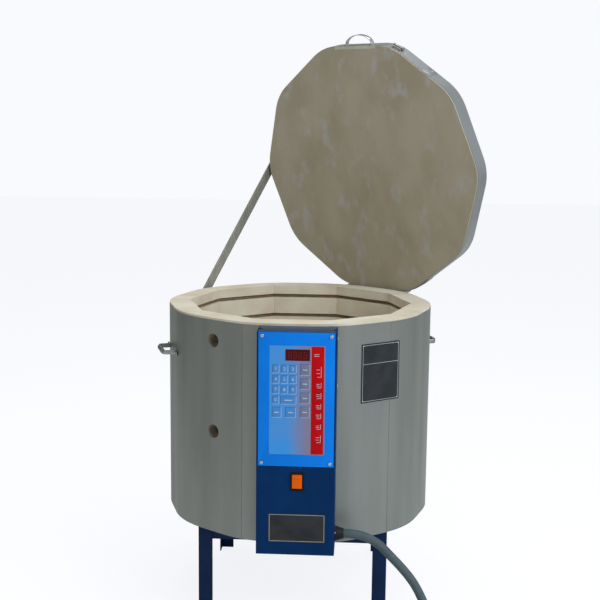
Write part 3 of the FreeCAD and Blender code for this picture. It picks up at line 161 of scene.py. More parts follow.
class Bench:
    """Modelling steps that every sub-assembly uses."""

    @staticmethod
    def every(middle: Vector, normal: Vector) -> bool:
        """Choose any face."""
        return True

    @staticmethod
    def front(middle: Vector, normal: Vector) -> bool:
        """Choose the faces that look towards -Y."""
        return normal.y < -0.9

    @staticmethod
    def only(*pieces: Piece) -> None:
        """Select these pieces alone and make the first one active.

        Args:
            pieces: What is selected.
        """
        bpy.ops.object.select_all(action="DESELECT")
        for piece in pieces:
            piece.select_set(True)
        bpy.context.view_layer.objects.active = pieces[0]

    @staticmethod
    def settle(piece: Piece, matrix: Matrix | None = None) -> Piece:
        """Move a piece and keep its place in its mesh.

        Args:
            piece: The piece, anywhere.
            matrix: A further move, or None.

        Returns:
            The same piece, with its object at the origin.
        """
        Bench.only(piece)
        if matrix is not None:
            piece.matrix_world = matrix @ piece.matrix_world
        bpy.ops.object.transform_apply(location=True, rotation=True, scale=True)
        return piece

    @staticmethod
    def block(name: str, middle: Sequence[float], size: Sequence[float]) -> Piece:
        """Add a box about its middle.

        Args:
            name: Name of the piece.
            middle: Its middle.
            size: Its three lengths.

        Returns:
            The box.
        """
        bpy.ops.mesh.primitive_cube_add(size=1, location=middle)
        piece = bpy.context.object
        piece.name = name
        piece.scale = size
        return Bench.settle(piece)

    @staticmethod
    def rod(name: str, radius: float, length: float, middle: Sequence[float],
            axis: Sequence[float], sides: int = 32) -> Piece:
        """Add a cylinder about its middle.

        Args:
            name: Name of the piece.
            radius: Its radius.
            length: Its length along the axis.
            middle: Its middle.
            axis: Its direction.
            sides: Sides of its outline.

        Returns:
            The cylinder.
        """
        turn = Vector(axis).to_track_quat("Z", "Y").to_euler()
        bpy.ops.mesh.primitive_cylinder_add(vertices=sides, radius=radius, depth=length,
                                            location=middle, rotation=turn)
        piece = bpy.context.object
        piece.name = name
        return Bench.settle(piece)

    @staticmethod
    def faces(piece: Piece, chosen: Callable[[Vector, Vector], bool],
              *steps: Callable[[], object]) -> Piece:
        """Select faces by place or normal and work on them in edit mode.

        Args:
            piece: The mesh.
            chosen: Takes a face's middle and normal, and says if it is selected.
            steps: What is done to the selection, in order.

        Returns:
            The same piece.
        """
        Bench.only(piece)
        bpy.context.tool_settings.mesh_select_mode = (False, False, True)
        mesh = piece.data
        for part in (mesh.vertices, mesh.edges):
            part.foreach_set("select", [False] * len(part))
        for polygon in mesh.polygons:
            polygon.select = bool(chosen(polygon.center, polygon.normal))
        bpy.ops.object.mode_set(mode="EDIT")
        for step in steps:
            step()
        bpy.ops.object.mode_set(mode="OBJECT")
        return piece

    @staticmethod
    def modify(piece: Piece, kind: str, **settings: object) -> Piece:
        """Add a modifier and apply it.

        Args:
            piece: The mesh.
            kind: The modifier's type.
            settings: Its properties.

        Returns:
            The same piece.
        """
        modifier = piece.modifiers.new(kind.title(), kind)
        for name, value in settings.items():
            setattr(modifier, name, value)
        Bench.only(piece)
        bpy.ops.object.modifier_apply(modifier=modifier.name)
        return piece

    @staticmethod
    def smooth(piece: Piece, degrees: float = 35.0) -> Piece:
        """Shade a piece smooth where its faces meet at less than an angle.

        Args:
            piece: The mesh.
            degrees: That angle.

        Returns:
            The same piece.
        """
        Bench.only(piece)
        bpy.ops.object.shade_smooth_by_angle(angle=math.radians(degrees))
        return piece

    @staticmethod
    def soften(piece: Piece, width: float, segments: int = 2) -> Piece:
        """Round the sharp edges of a piece.

        Args:
            piece: The mesh.
            width: Width of the rounding.
            segments: Faces across it.

        Returns:
            The same piece.
        """
        Bench.modify(piece, "BEVEL", width=width, segments=segments, limit_method="ANGLE",
                     angle_limit=math.radians(30), use_clamp_overlap=True)
        return Bench.smooth(piece)

    @staticmethod
    def copy(piece: Piece, name: str, matrix: Matrix) -> Piece:
        """Copy a piece with its own mesh to another place.

        Args:
            piece: The piece that is copied.
            name: Name of the copy.
            matrix: Move from the piece to the copy.

        Returns:
            The copy.
        """
        Bench.only(piece)
        bpy.ops.object.duplicate(linked=False)
        twin = bpy.context.object
        twin.name = name
        return Bench.settle(twin, matrix)

    @staticmethod
    def join(name: str, pieces: Sequence[Piece]) -> Piece:
        """Make one object of several.

        Args:
            name: Name of the result.
            pieces: What is joined.

        Returns:
            The joined piece.
        """
        Bench.only(*pieces)
        if len(pieces) > 1:
            bpy.ops.object.join()
        pieces[0].name = name
        return pieces[0]

    @staticmethod
    def repeat(name: str, model: Piece, places: Sequence[Matrix]) -> Piece:
        """Put a copy of a model at every place and join the copies.

        Args:
            name: Name of the result.
            model: What is copied. It is removed afterwards.
            places: Moves from the model to its copies.

        Returns:
            The joined copies.
        """
        copies = [Bench.copy(model, name + "_copy", place) for place in places]
        bpy.data.objects.remove(model)
        return Bench.join(name, copies)

    @staticmethod
    def line(name: str, kind: str, points: Sequence[Vector], radius: float,
             resolution: int) -> Piece:
        """Add a round curve along control points.

        Args:
            name: Name of the piece.
            kind: POLY or NURBS.
            points: Its control points.
            radius: Its radius.
            resolution: Steps of its round section.

        Returns:
            The curve.
        """
        curve = bpy.data.curves.new(name, "CURVE")
        curve.dimensions = "3D"
        spline = curve.splines.new(kind)
        spline.points.add(len(points) - 1)
        for point, place in zip(spline.points, points):
            point.co = (*place, 1.0)
        curve.bevel_depth = radius
        curve.bevel_resolution = resolution
        curve.use_fill_caps = True
        piece = bpy.data.objects.new(name, curve)
        bpy.context.scene.collection.objects.link(piece)
        return piece

    @staticmethod
    def outline(middle: Sequence[float], wide: float, high: float) -> list[Piece]:
        """Add four thin printed bars round a rectangle that faces -Y.

        Args:
            middle: Its middle.
            wide: Its width.
            high: Its height.

        Returns:
            The bars.
        """
        x, y, z = middle
        thin, proud = 0.0012, 0.0002
        rows = [Bench.block("edge_row", (x, y, z + side * high / 2), (wide, proud, thin))
                for side in (-1, 1)]
        return rows + [Bench.block("edge_post", (x + side * wide / 2, y, z), (thin, proud, high))
                       for side in (-1, 1)]

    @staticmethod
    def refined(node: Piece, name: str, width: float, segments: int = 2) -> Piece:
        """Copy a CAD node, merge its triangles and round its edges.

        Args:
            node: The CAD node, which is left alone.
            name: Name of the new piece.
            width: Width of the rounding.
            segments: Faces across it.

        Returns:
            The new piece, which stands for the node.
        """
        Bench.only(node)
        bpy.ops.object.duplicate(linked=False)
        piece = bpy.context.object
        piece.name = name
        piece.parent = None
        for key in [key for key in piece.keys() if key.startswith("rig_")]:
            del piece[key]
        Bench.faces(piece, Bench.every,
                    lambda: bpy.ops.mesh.remove_doubles(threshold=1e-6),
                    lambda: bpy.ops.mesh.dissolve_limited(angle_limit=math.radians(1)))
        Bench.only(piece)
        if piece.data.has_custom_normals:
            bpy.ops.mesh.customdata_custom_splitnormals_clear()
        Bench.soften(piece, width, segments)
        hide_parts(node.name)
        return piece

    @staticmethod
    def dome(name: str, radius: float, place: Matrix) -> Piece:
        """Model a low domed head whose top faces -Y, then place it.

        Args:
            name: Name of the piece.
            radius: Its radius.
            place: Its place.

        Returns:
            The head.
        """
        bpy.ops.mesh.primitive_uv_sphere_add(segments=20, ring_count=10, radius=radius)
        head = bpy.context.object
        head.name = name
        head.scale = (1, 0.55, 1)
        return Bench.settle(Bench.smooth(Bench.settle(head)), place)

    @staticmethod
    def words(name: str, body: str, size: float, depth: float, matrix: Matrix) -> Piece:
        """Add raised figures.

        Args:
            name: Name of the piece.
            body: The figures.
            size: Their height.
            depth: Half of how far they stand up.
            matrix: Their place, with X along them and Z out of the surface.

        Returns:
            The figures as a mesh.
        """
        bpy.ops.object.text_add()
        piece = bpy.context.object
        piece.data.body = body
        piece.data.size = size
        piece.data.align_x = "CENTER"
        piece.data.align_y = "CENTER"
        piece.data.extrude = depth
        piece.data.resolution_u = 3
        piece.name = name
        Bench.only(piece)
        bpy.ops.object.convert(target="MESH")
        return Bench.settle(bpy.context.object, matrix)


class Pattern(Enum):
    """Which way a finish varies over its surface."""

    MOTTLED = "mottled"
    BRUSHED = "brushed"
    FADED = "faded"


@dataclass(frozen=True)
class Finish:
    """How one kind of surface looks.

    Attributes:
        name: Name of the material.
        slot: Slot of the record it belongs to.
        base: Main colour.
        shade: Colour of its darker or paler patches.
        roughness: Middle roughness.
        spread: How much the roughness varies.
        metallic: 1 for bare metal.
        scale: Patches per metre.
        stretch: Scale of the patches along each axis.
        amount: How far the patches go towards the second colour.
        grain: Fine grain per metre.
        bump: Strength of the relief.
        depth: Height of the relief, in metres.
        pits: Share of small pits, real pores darkened with painted shade.
        pattern: The way it varies.
        coat: Clear coat.
        specular: Specular level of the shader.
        scuff: Share of pale scuff marks.
        fade: Where along X the first colour starts and ends its change to the second.
    """

    name: str
    slot: str
    base: Rgb
    shade: Rgb
    roughness: float = 0.5
    spread: float = 0.1
    metallic: float = 0.0
    scale: float = 14.0
    stretch: Rgb = (1.0, 1.0, 1.0)
    amount: float = 0.5
    grain: float = 900.0
    bump: float = 0.15
    depth: float = 0.0004
    pits: float = 0.0
    pattern: Pattern = Pattern.MOTTLED
    coat: float = 0.0
    specular: float = 0.3
    scuff: float = 0.0
    fade: tuple[float, float] = (0.0, 1.0)


FINISHES = (
    Finish("Navy enamel", "stand_paint", srgb(14, 38, 76), srgb(24, 50, 90), 0.46, 0.16,
           scale=30, amount=0.35, grain=700, bump=0.25, specular=0.12),
    Finish("Galvanised sheet", "pan_steel", srgb(150, 153, 156), srgb(118, 121, 125), 0.45,
           metallic=1.0, scale=60, amount=0.6),
    Finish("Insulating block", "insulation", srgb(206, 200, 186), srgb(182, 172, 152), 0.95,
           scale=40, grain=600, bump=0.5, pits=0.3),
    Finish("Insulating brick", "firebrick", srgb(226, 219, 204), srgb(207, 194, 171), 0.95, 0.04,
           scale=9, amount=0.75, grain=420, bump=0.5, depth=0.0008, pits=0.3, specular=0.1),
    Finish("Lid brick", "firebrick", srgb(180, 171, 152), srgb(164, 152, 132), 0.95, 0.04,
           scale=4.4, stretch=(2.2, 2.2, 1.3), amount=0.7, grain=380, bump=0.5, depth=0.0008,
           pits=0.35, specular=0.1, scuff=0.6),
    # Darker brick for the peephole bores: painted shade inside the holes.
    Finish("Bore brick in painted shade", "firebrick", srgb(164, 152, 136), srgb(112, 100, 88), 0.95, 0.03,
           scale=60, amount=0.8, grain=420, bump=0.5, pits=0.4, specular=0.1),
    Finish("Dull stainless sheet", "stainless", srgb(148, 151, 148), srgb(131, 135, 132), 0.44,
           0.12, metallic=0.8, scale=5, stretch=(3.0, 3.0, 0.35), amount=0.6, grain=500,
           bump=0.05, pattern=Pattern.BRUSHED),
    # A lighter copy of the jacket's stainless: painted light on the lid's band and its lap.
    Finish("Band sheet in painted light", "stainless", srgb(166, 169, 171), srgb(147, 150, 152), 0.42, 0.12,
           metallic=0.8, scale=6, amount=0.6, grain=500, bump=0.05, pattern=Pattern.BRUSHED),
    # Darker sheet for the jacket laps: painted shade along the seam lines.
    Finish("Painted seam shade", "stainless", srgb(136, 138, 135), srgb(118, 120, 117), 0.5, 0.1,
           metallic=0.7, scale=40, amount=0.7),
    Finish("Pale sheet lip", "stainless", srgb(200, 203, 188), srgb(176, 179, 164), 0.6, 0.1,
           metallic=0.2, scale=60, amount=0.6),
    Finish("Oxidised wire", "element_wire", srgb(182, 150, 122), srgb(142, 114, 90), 0.75,
           metallic=0.3, scale=90, amount=0.8),
    Finish("Glazed porcelain", "porcelain", srgb(232, 228, 216), srgb(206, 198, 180), 0.25,
           scale=60, coat=0.3),
    Finish("Dark blue enamel", "box_paint", srgb(2, 50, 100), srgb(0, 42, 88), 0.44, 0.14,
           scale=16, amount=0.7, grain=620, bump=0.22, specular=0.07),
    # Lighter blue for the box's top flange: painted sheen where the top faces the light.
    Finish("Blue enamel with painted sheen", "box_paint", srgb(50, 72, 100), srgb(38, 60, 90), 0.4, 0.12,
           scale=16, amount=0.6, grain=620, bump=0.15, specular=0.25),
    Finish("Bright blue enamel", "panel_paint", srgb(8, 134, 246), srgb(6, 122, 234), 0.42,
           0.1, scale=10, amount=0.6, grain=700, bump=0.12, specular=0.1),
    Finish("Printed film", "keypad_film", srgb(64, 155, 236), srgb(142, 130, 156), 0.4, 0.08,
           scale=9, amount=0.25, grain=1400, bump=0.08, specular=0.1, pattern=Pattern.FADED,
           fade=(-0.002, 0.050)),
    Finish("Dark red window", "display_red", srgb(88, 2, 8), srgb(58, 1, 5), 0.14, 0.04,
           scale=40, coat=0.15, specular=0.15),
    Finish("Bright plated steel", "bright_screws", srgb(214, 214, 212), srgb(168, 168, 166), 0.24,
           0.12, metallic=1.0, scale=160, amount=0.6),
    Finish("Black plate", "plate_black", srgb(42, 45, 49), srgb(58, 61, 64), 0.4, 0.16,
           scale=26, amount=0.6, specular=0.15),
    Finish("Black moulding", "black_plastic", srgb(16, 16, 18), srgb(30, 30, 32), 0.52, 0.14,
           scale=60, amount=0.5, grain=1500, bump=0.25, specular=0.15),
    Finish("Orange rocker", "orange_plastic", srgb(244, 104, 0), srgb(230, 90, 0), 0.36, 0.08,
           scale=60, specular=0.12),
    Finish("Circuit board", "board_green", srgb(12, 86, 44), srgb(8, 66, 36), 0.4, scale=120),
    Finish("Relay case", "relay_case", srgb(34, 34, 38), srgb(48, 48, 52), 0.45, scale=80),
    Finish("Laminated iron", "iron_core", srgb(70, 70, 74), srgb(46, 46, 50), 0.6, metallic=0.8,
           scale=40, stretch=(1.0, 1.0, 30.0), amount=0.9),
    Finish("Terminal moulding", "terminal_plastic", srgb(206, 198, 178), srgb(188, 178, 156), 0.5,
           scale=60),
    Finish("Zinc-plated steel", "zinc_steel", srgb(170, 172, 170), srgb(136, 138, 136), 0.4,
           0.16, metallic=0.8, scale=45, amount=0.7, grain=800, bump=0.12),
    # Darkened strap steel: painted shade on the stay bracket.
    Finish("Strap steel in painted shade", "zinc_steel", srgb(104, 101, 94), srgb(80, 77, 72), 0.55, 0.1,
           metallic=0.5, scale=40, amount=0.7),
    Finish("Plain steel bar", "stay_steel", srgb(176, 176, 168), srgb(142, 142, 136), 0.5, 0.16,
           metallic=0.5, scale=22, amount=0.7, pattern=Pattern.BRUSHED, bump=0.04,
           stretch=(2.0, 2.0, 0.6)),
    Finish("Polished rod", "chrome_rod", srgb(222, 222, 222), srgb(190, 190, 192), 0.16, 0.08,
           metallic=1.0, scale=90, amount=0.5),
    Finish("Grey cord jacket", "cord_rubber", srgb(84, 98, 105), srgb(68, 80, 86), 0.55, 0.1,
           scale=40, amount=0.5, grain=1300, bump=0.2, specular=0.25),
    Finish("Moulded plug", "plug_rubber", srgb(34, 36, 38), srgb(50, 52, 54), 0.5, scale=60,
           grain=1200, bump=0.2),
)
PRINTS = (
    Finish("Red print", "keypad_film", srgb(200, 8, 18), srgb(178, 5, 13), 0.4, scale=20,
           specular=0.08),
    # Pale print, also used as painted highlight along the keys' lower and right edges.
    Finish("Pale print and painted glint", "keypad_film", srgb(196, 214, 234), srgb(178, 198, 220), 0.4, scale=60),
    # Painted shade that stands for the shadow along the keys' upper and left edges.
    Finish("Key edge painted shade", "keypad_film", srgb(44, 84, 142), srgb(36, 70, 124), 0.4, scale=60,
           specular=0.1),
    Finish("Grey key", "keypad_film", srgb(126, 130, 156), srgb(112, 118, 146), 0.4, scale=40,
           specular=0.1),
    Finish("Blue key", "keypad_film", srgb(80, 146, 214), srgb(66, 132, 204), 0.4, scale=40,
           specular=0.1),
    Finish("Pale plate edge", "plate_black", srgb(176, 182, 184), srgb(146, 152, 154), 0.4,
           scale=40),
    Finish("Unlit segment", "display_red", srgb(112, 10, 16), srgb(98, 8, 14), 0.3, scale=40),
)


class FinishBook:
    """Builds each finish once, from one shared group of shader nodes."""

    def __init__(self) -> None:
        """Build the shared group and every material."""
        self.group = self.surface_group()
        self.made: dict[str, bpy.types.Material] = {}
        self.by_slot: dict[str, bpy.types.Material] = {}
        for finish in FINISHES + PRINTS:
            material = self.build(finish)
            self.made[finish.name] = material
            self.by_slot.setdefault(finish.slot, material)

    def surface_group(self) -> bpy.types.NodeTree:
        """Build the group that varies colour, roughness and relief over a surface.

        Returns:
            The node group.
        """
        tree = bpy.data.node_groups.new("Surface variation", "ShaderNodeTree")
        face = tree.interface
        for name in ("Base", "Shade"):
            face.new_socket(name, in_out="INPUT", socket_type="NodeSocketColor")
        face.new_socket("Stretch", in_out="INPUT", socket_type="NodeSocketVector")
        for name in ("Scale", "Amount", "Grain", "Pits", "Roughness", "Spread", "Softness",
                     "Scuff"):
            face.new_socket(name, in_out="INPUT", socket_type="NodeSocketFloat")
        face.new_socket("Color", in_out="OUTPUT", socket_type="NodeSocketColor")
        face.new_socket("Roughness", in_out="OUTPUT", socket_type="NodeSocketFloat")
        face.new_socket("Height", in_out="OUTPUT", socket_type="NodeSocketFloat")
        nodes, links = tree.nodes, tree.links
        given, result = nodes.new("NodeGroupInput"), nodes.new("NodeGroupOutput")
        place = nodes.new("ShaderNodeTexCoord").outputs["Object"]
        stretched = nodes.new("ShaderNodeVectorMath")
        stretched.operation = "MULTIPLY"
        links.new(place, stretched.inputs[0])
        links.new(given.outputs["Stretch"], stretched.inputs[1])
        patches = self.noise(tree, stretched.outputs[0], given.outputs["Scale"], 5.0)
        fine = self.noise(tree, place, given.outputs["Grain"], 2.0)
        spots = nodes.new("ShaderNodeTexVoronoi")
        links.new(place, spots.inputs["Vector"])
        links.new(given.outputs["Grain"], spots.inputs["Scale"])
        sharp = self.ranged(tree, patches, 0.36, 0.64)
        share = self.math(tree, "MULTIPLY", sharp, given.outputs["Amount"])
        mixed = self.mix(tree, share, given.outputs["Base"], given.outputs["Shade"])
        # Small pits: real pores, with painted shade darkening them.
        pit = self.ranged(tree, spots.outputs["Distance"], 0.05, 0.3, 1.0, 0.0)
        hole = self.math(tree, "MULTIPLY", pit, self.ranged(tree, fine, 0.5, 0.62))
        hole = self.math(tree, "MULTIPLY", hole, given.outputs["Pits"])
        dark = self.mix(tree, 0.55, given.outputs["Shade"], PORE_SHADE_TONE)
        tinted = self.mix(tree, hole, mixed, dark)
        rubbed = self.noise(tree, stretched.outputs[0],
                            self.math(tree, "MULTIPLY", given.outputs["Scale"], 2.8), 6.0)
        mark = self.ranged(tree, rubbed, 0.55, 0.74)
        scuffed = self.math(tree, "MULTIPLY", mark, given.outputs["Scuff"])
        tinted = self.mix(tree, scuffed, tinted, SCUFF_TONE)
        final = nodes.new("ShaderNodeVectorMath")
        final.operation = "SCALE"
        links.new(tinted, final.inputs[0])
        links.new(self.ranged(tree, fine, 0.0, 1.0, 0.93, 1.05), final.inputs["Scale"])
        links.new(final.outputs[0], result.inputs["Color"])
        middle = self.math(tree, "SUBTRACT", patches, 0.5)
        change = self.math(tree, "MULTIPLY", middle, given.outputs["Spread"])
        change = self.math(tree, "MULTIPLY", change, 2.0)
        rough = self.math(tree, "ADD", given.outputs["Roughness"], change)
        links.new(rough, result.inputs["Roughness"])
        relief = self.math(tree, "MULTIPLY", patches, given.outputs["Softness"])
        relief = self.math(tree, "ADD", relief, fine)
        relief = self.math(tree, "SUBTRACT", relief, hole)
        links.new(relief, result.inputs["Height"])
        return tree

    @staticmethod
    def feed(tree: bpy.types.NodeTree, source: object, socket: bpy.types.NodeSocket) -> None:
        """Link a socket or set a plain value.

        Args:
            tree: Where both are.
            source: A socket, or the value.
            socket: The input that takes it.
        """
        if isinstance(source, bpy.types.NodeSocket):
            tree.links.new(source, socket)
        else:
            socket.default_value = source

    @classmethod
    def noise(cls, tree: bpy.types.NodeTree, place: bpy.types.NodeSocket, scale: object,
              detail: float) -> bpy.types.NodeSocket:
        """Add a noise texture.

        Args:
            tree: Where it goes.
            place: Coordinates it reads.
            scale: Its scale, a socket or a number.
            detail: Its levels of detail.

        Returns:
            Its value socket.
        """
        node = tree.nodes.new("ShaderNodeTexNoise")
        node.inputs["Detail"].default_value = detail
        tree.links.new(place, node.inputs["Vector"])
        cls.feed(tree, scale, node.inputs["Scale"])
        return node.outputs["Fac"]

    @classmethod
    def math(cls, tree: bpy.types.NodeTree, operation: str, first: object,
             second: object) -> bpy.types.NodeSocket:
        """Add an operation on two values.

        Args:
            tree: Where it goes.
            operation: The node's operation.
            first: First value, a socket or a number.
            second: Second value, a socket or a number.

        Returns:
            The result's socket.
        """
        node = tree.nodes.new("ShaderNodeMath")
        node.operation = operation
        cls.feed(tree, first, node.inputs[0])
        cls.feed(tree, second, node.inputs[1])
        return node.outputs[0]

    @staticmethod
    def ranged(tree: bpy.types.NodeTree, value: bpy.types.NodeSocket, low: float, high: float,
               start: float = 0.0, end: float = 1.0) -> bpy.types.NodeSocket:
        """Add a clamped change of range.

        Args:
            tree: Where it goes.
            value: What is changed.
            low: The value that becomes start.
            high: The value that becomes end.
            start: First end of the new range.
            end: Other end of the new range.

        Returns:
            The result's socket.
        """
        node = tree.nodes.new("ShaderNodeMapRange")
        for name, number in (("From Min", low), ("From Max", high), ("To Min", start),
                             ("To Max", end)):
            node.inputs[name].default_value = number
        tree.links.new(value, node.inputs["Value"])
        return node.outputs["Result"]

    @classmethod
    def mix(cls, tree: bpy.types.NodeTree, share: object, first: object,
            second: object) -> bpy.types.NodeSocket:
        """Add a mix of two colours.

        Args:
            tree: Where it goes.
            share: How much of the second colour, a socket or a number.
            first: First colour.
            second: Second colour.

        Returns:
            The mixed colour's socket.
        """
        node = tree.nodes.new("ShaderNodeMix")
        node.data_type = "RGBA"
        cls.feed(tree, share, node.inputs[0])
        cls.feed(tree, first, node.inputs[6])
        cls.feed(tree, second, node.inputs[7])
        return node.outputs[2]

    def build(self, finish: Finish) -> bpy.types.Material:
        """Make the material of one finish.

        Args:
            finish: What it looks like.

        Returns:
            The material.
        """
        material = bpy.data.materials.new(finish.name)
        material.use_nodes = True
        tree = material.node_tree
        shader = tree.nodes["Principled BSDF"]
        shader.inputs["Metallic"].default_value = finish.metallic
        shader.inputs["Coat Weight"].default_value = finish.coat
        shader.inputs["Specular IOR Level"].default_value = finish.specular
        surface = tree.nodes.new("ShaderNodeGroup")
        surface.node_tree = self.group
        values = {"Base": (*finish.base, 1.0), "Shade": (*finish.shade, 1.0),
                  "Stretch": finish.stretch, "Scale": finish.scale, "Amount": finish.amount,
                  "Grain": finish.grain, "Pits": finish.pits, "Roughness": finish.roughness,
                  "Spread": finish.spread, "Scuff": finish.scuff,
                  "Softness": 0.2 if finish.pattern is Pattern.BRUSHED else 0.8}
        for name, value in values.items():
            surface.inputs[name].default_value = value
        if finish.pattern is Pattern.FADED:
            place = tree.nodes.new("ShaderNodeSeparateXYZ")
            tree.links.new(tree.nodes.new("ShaderNodeTexCoord").outputs["Object"],
                           place.inputs[0])
            along = self.ranged(tree, place.outputs["X"], *finish.fade)
            faded = self.mix(tree, along, (*finish.base, 1.0), (*finish.shade, 1.0))
            tree.links.new(faded, surface.inputs["Base"])
        bump = tree.nodes.new("ShaderNodeBump")
        bump.inputs["Strength"].default_value = finish.bump
        bump.inputs["Distance"].default_value = finish.depth
        tree.links.new(surface.outputs["Color"], shader.inputs["Base Color"])
        tree.links.new(surface.outputs["Roughness"], shader.inputs["Roughness"])
        tree.links.new(surface.outputs["Height"], bump.inputs["Height"])
        tree.links.new(bump.outputs["Normal"], shader.inputs["Normal"])
        return material

    def dress(self, piece: Piece, finish: str) -> Piece:
        """Give a piece one finish by the material's name.

        Args:
            piece: The piece.
            finish: Name of the finish.

        Returns:
            The same piece.
        """
        piece.data.materials.clear()
        piece.data.materials.append(self.made[finish])
        return piece

    def dress_nodes(self, frame: dict) -> None:
        """Give every CAD node the finish of its slot in the record.

        Args:
            frame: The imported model.
        """
        slots = {row["node"]: row["material_slot"] for row in frame["record"]["subparts"]}
        for name, node in frame["nodes"].items():
            node.data.materials.clear()
            node.data.materials.append(self.by_slot[slots[name]])


@dataclass
class SubAssembly:
    """What every sub-assembly has.

    Attributes:
        frame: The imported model.
        book: The finishes.
        body: The CAD body its pieces ride on.
    """

    frame: dict
    book: FinishBook
    body: str = "root"

    def add(self, piece: Piece, finish: str, body: str | None = None) -> Piece:
        """Dress a finished piece and let it ride on its body.

        Args:
            piece: The piece, in place.
            finish: Name of its finish.
            body: Another body than the sub-assembly's own.

        Returns:
            The same piece.
        """
        self.book.dress(piece, finish)
        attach(piece, body or self.body)
        LOG.info("%s rides on %s", piece.name, body or self.body)
        return piece

    def node(self, name: str) -> Piece:
        """The CAD node of that name."""
        return self.frame["nodes"][name]

    def refine(self, name: str, finish: str, width: float, segments: int = 2) -> Piece:
        """Replace a CAD node by a copy with rounded edges.

        Args:
            name: The node.
            finish: Name of its finish.
            width: Width of the rounding.
            segments: Faces across it.

        Returns:
            The new piece.
        """
        node = self.node(name)
        body = node["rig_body"]
        piece = Bench.refined(node, name + "_shape", width, segments)
        return self.add(piece, finish, body)


@dataclass
class HeatingElements(SubAssembly):
    """Wound wire in the seven grooves of the wall."""

    rows: int = 7
    apothem: float = 0.3052
    first_level: float = 0.79945
    pitch: float = 0.06
    coil_radius: float = 0.0033
    wire_radius: float = 0.0009
    turn: float = 0.0050
    end_gap: float = 0.018
    lead_radius: float = 0.0016
    lead_reach: float = 0.3725
    steps: int = 8

    def path(self) -> list[Vector]:
        """Corners that a row follows round the chamber.

        Returns:
            The corners, from one end of the row to the other.
        """
        corner = self.apothem / math.cos(math.radians(18))
        points = [Vector((self.end_gap, -self.apothem, 0))]
        for step in range(10):
            angle = math.radians(18 + 36 * step)
            points.append(Vector((corner * math.sin(angle), -corner * math.cos(angle), 0)))
        points.append(Vector((-self.end_gap, -self.apothem, 0)))
        return points

    def wound(self) -> list[Vector]:
        """Points of the wire wound about that path.

        Returns:
            The points of one row at height 0.
        """
        points = []
        phase = 0.0
        advance = self.turn / self.steps
        corners = self.path()
        for start, end in zip(corners, corners[1:]):
            along = (end - start).normalized()
            across = along.cross(Vector((0, 0, 1)))
            count = int((end - start).length / advance)
            for index in range(count):
                phase += math.tau / self.steps
                points.append(start + along * advance * index
                              + across * math.cos(phase) * self.coil_radius
                              + Vector((0, 0, math.sin(phase) * self.coil_radius)))
        return points

    def lead(self, side: int) -> list[Vector]:
        """Straight wire from the end of a row out through its bush."""
        x = side * self.end_gap
        return [Vector((x, -self.apothem, 0.0)), Vector((x, -self.lead_reach, 0.0))]

    def tube(self, points: list[Vector], radius: float, name: str) -> Piece:
        """Make a wire along points.

        Args:
            points: Its middle line.
            radius: Its radius.
            name: Name of the piece.

        Returns:
            The wire as a mesh.
        """
        piece = Bench.line(name, "POLY", points, radius, 1)
        Bench.only(piece)
        bpy.ops.object.convert(target="MESH")
        return bpy.context.object

    def build(self) -> None:
        """Wind one row and copy it to the others."""
        wire = self.tube(self.wound(), self.wire_radius, "element_row")
        leads = [self.tube(self.lead(side), self.lead_radius, f"element_lead_{side}")
                 for side in (-1, 1)]
        row = Bench.smooth(Bench.join("element_row", [wire, *leads]), 60)
        for index in range(self.rows):
            level = self.first_level - self.pitch * index
            piece = Bench.copy(row, f"element_wire_{index + 1}",
                               Matrix.Translation((0, 0, level)))
            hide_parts(f"element_coil_{index + 1}")
            self.add(piece, "Oxidised wire")
        bpy.data.objects.remove(row)


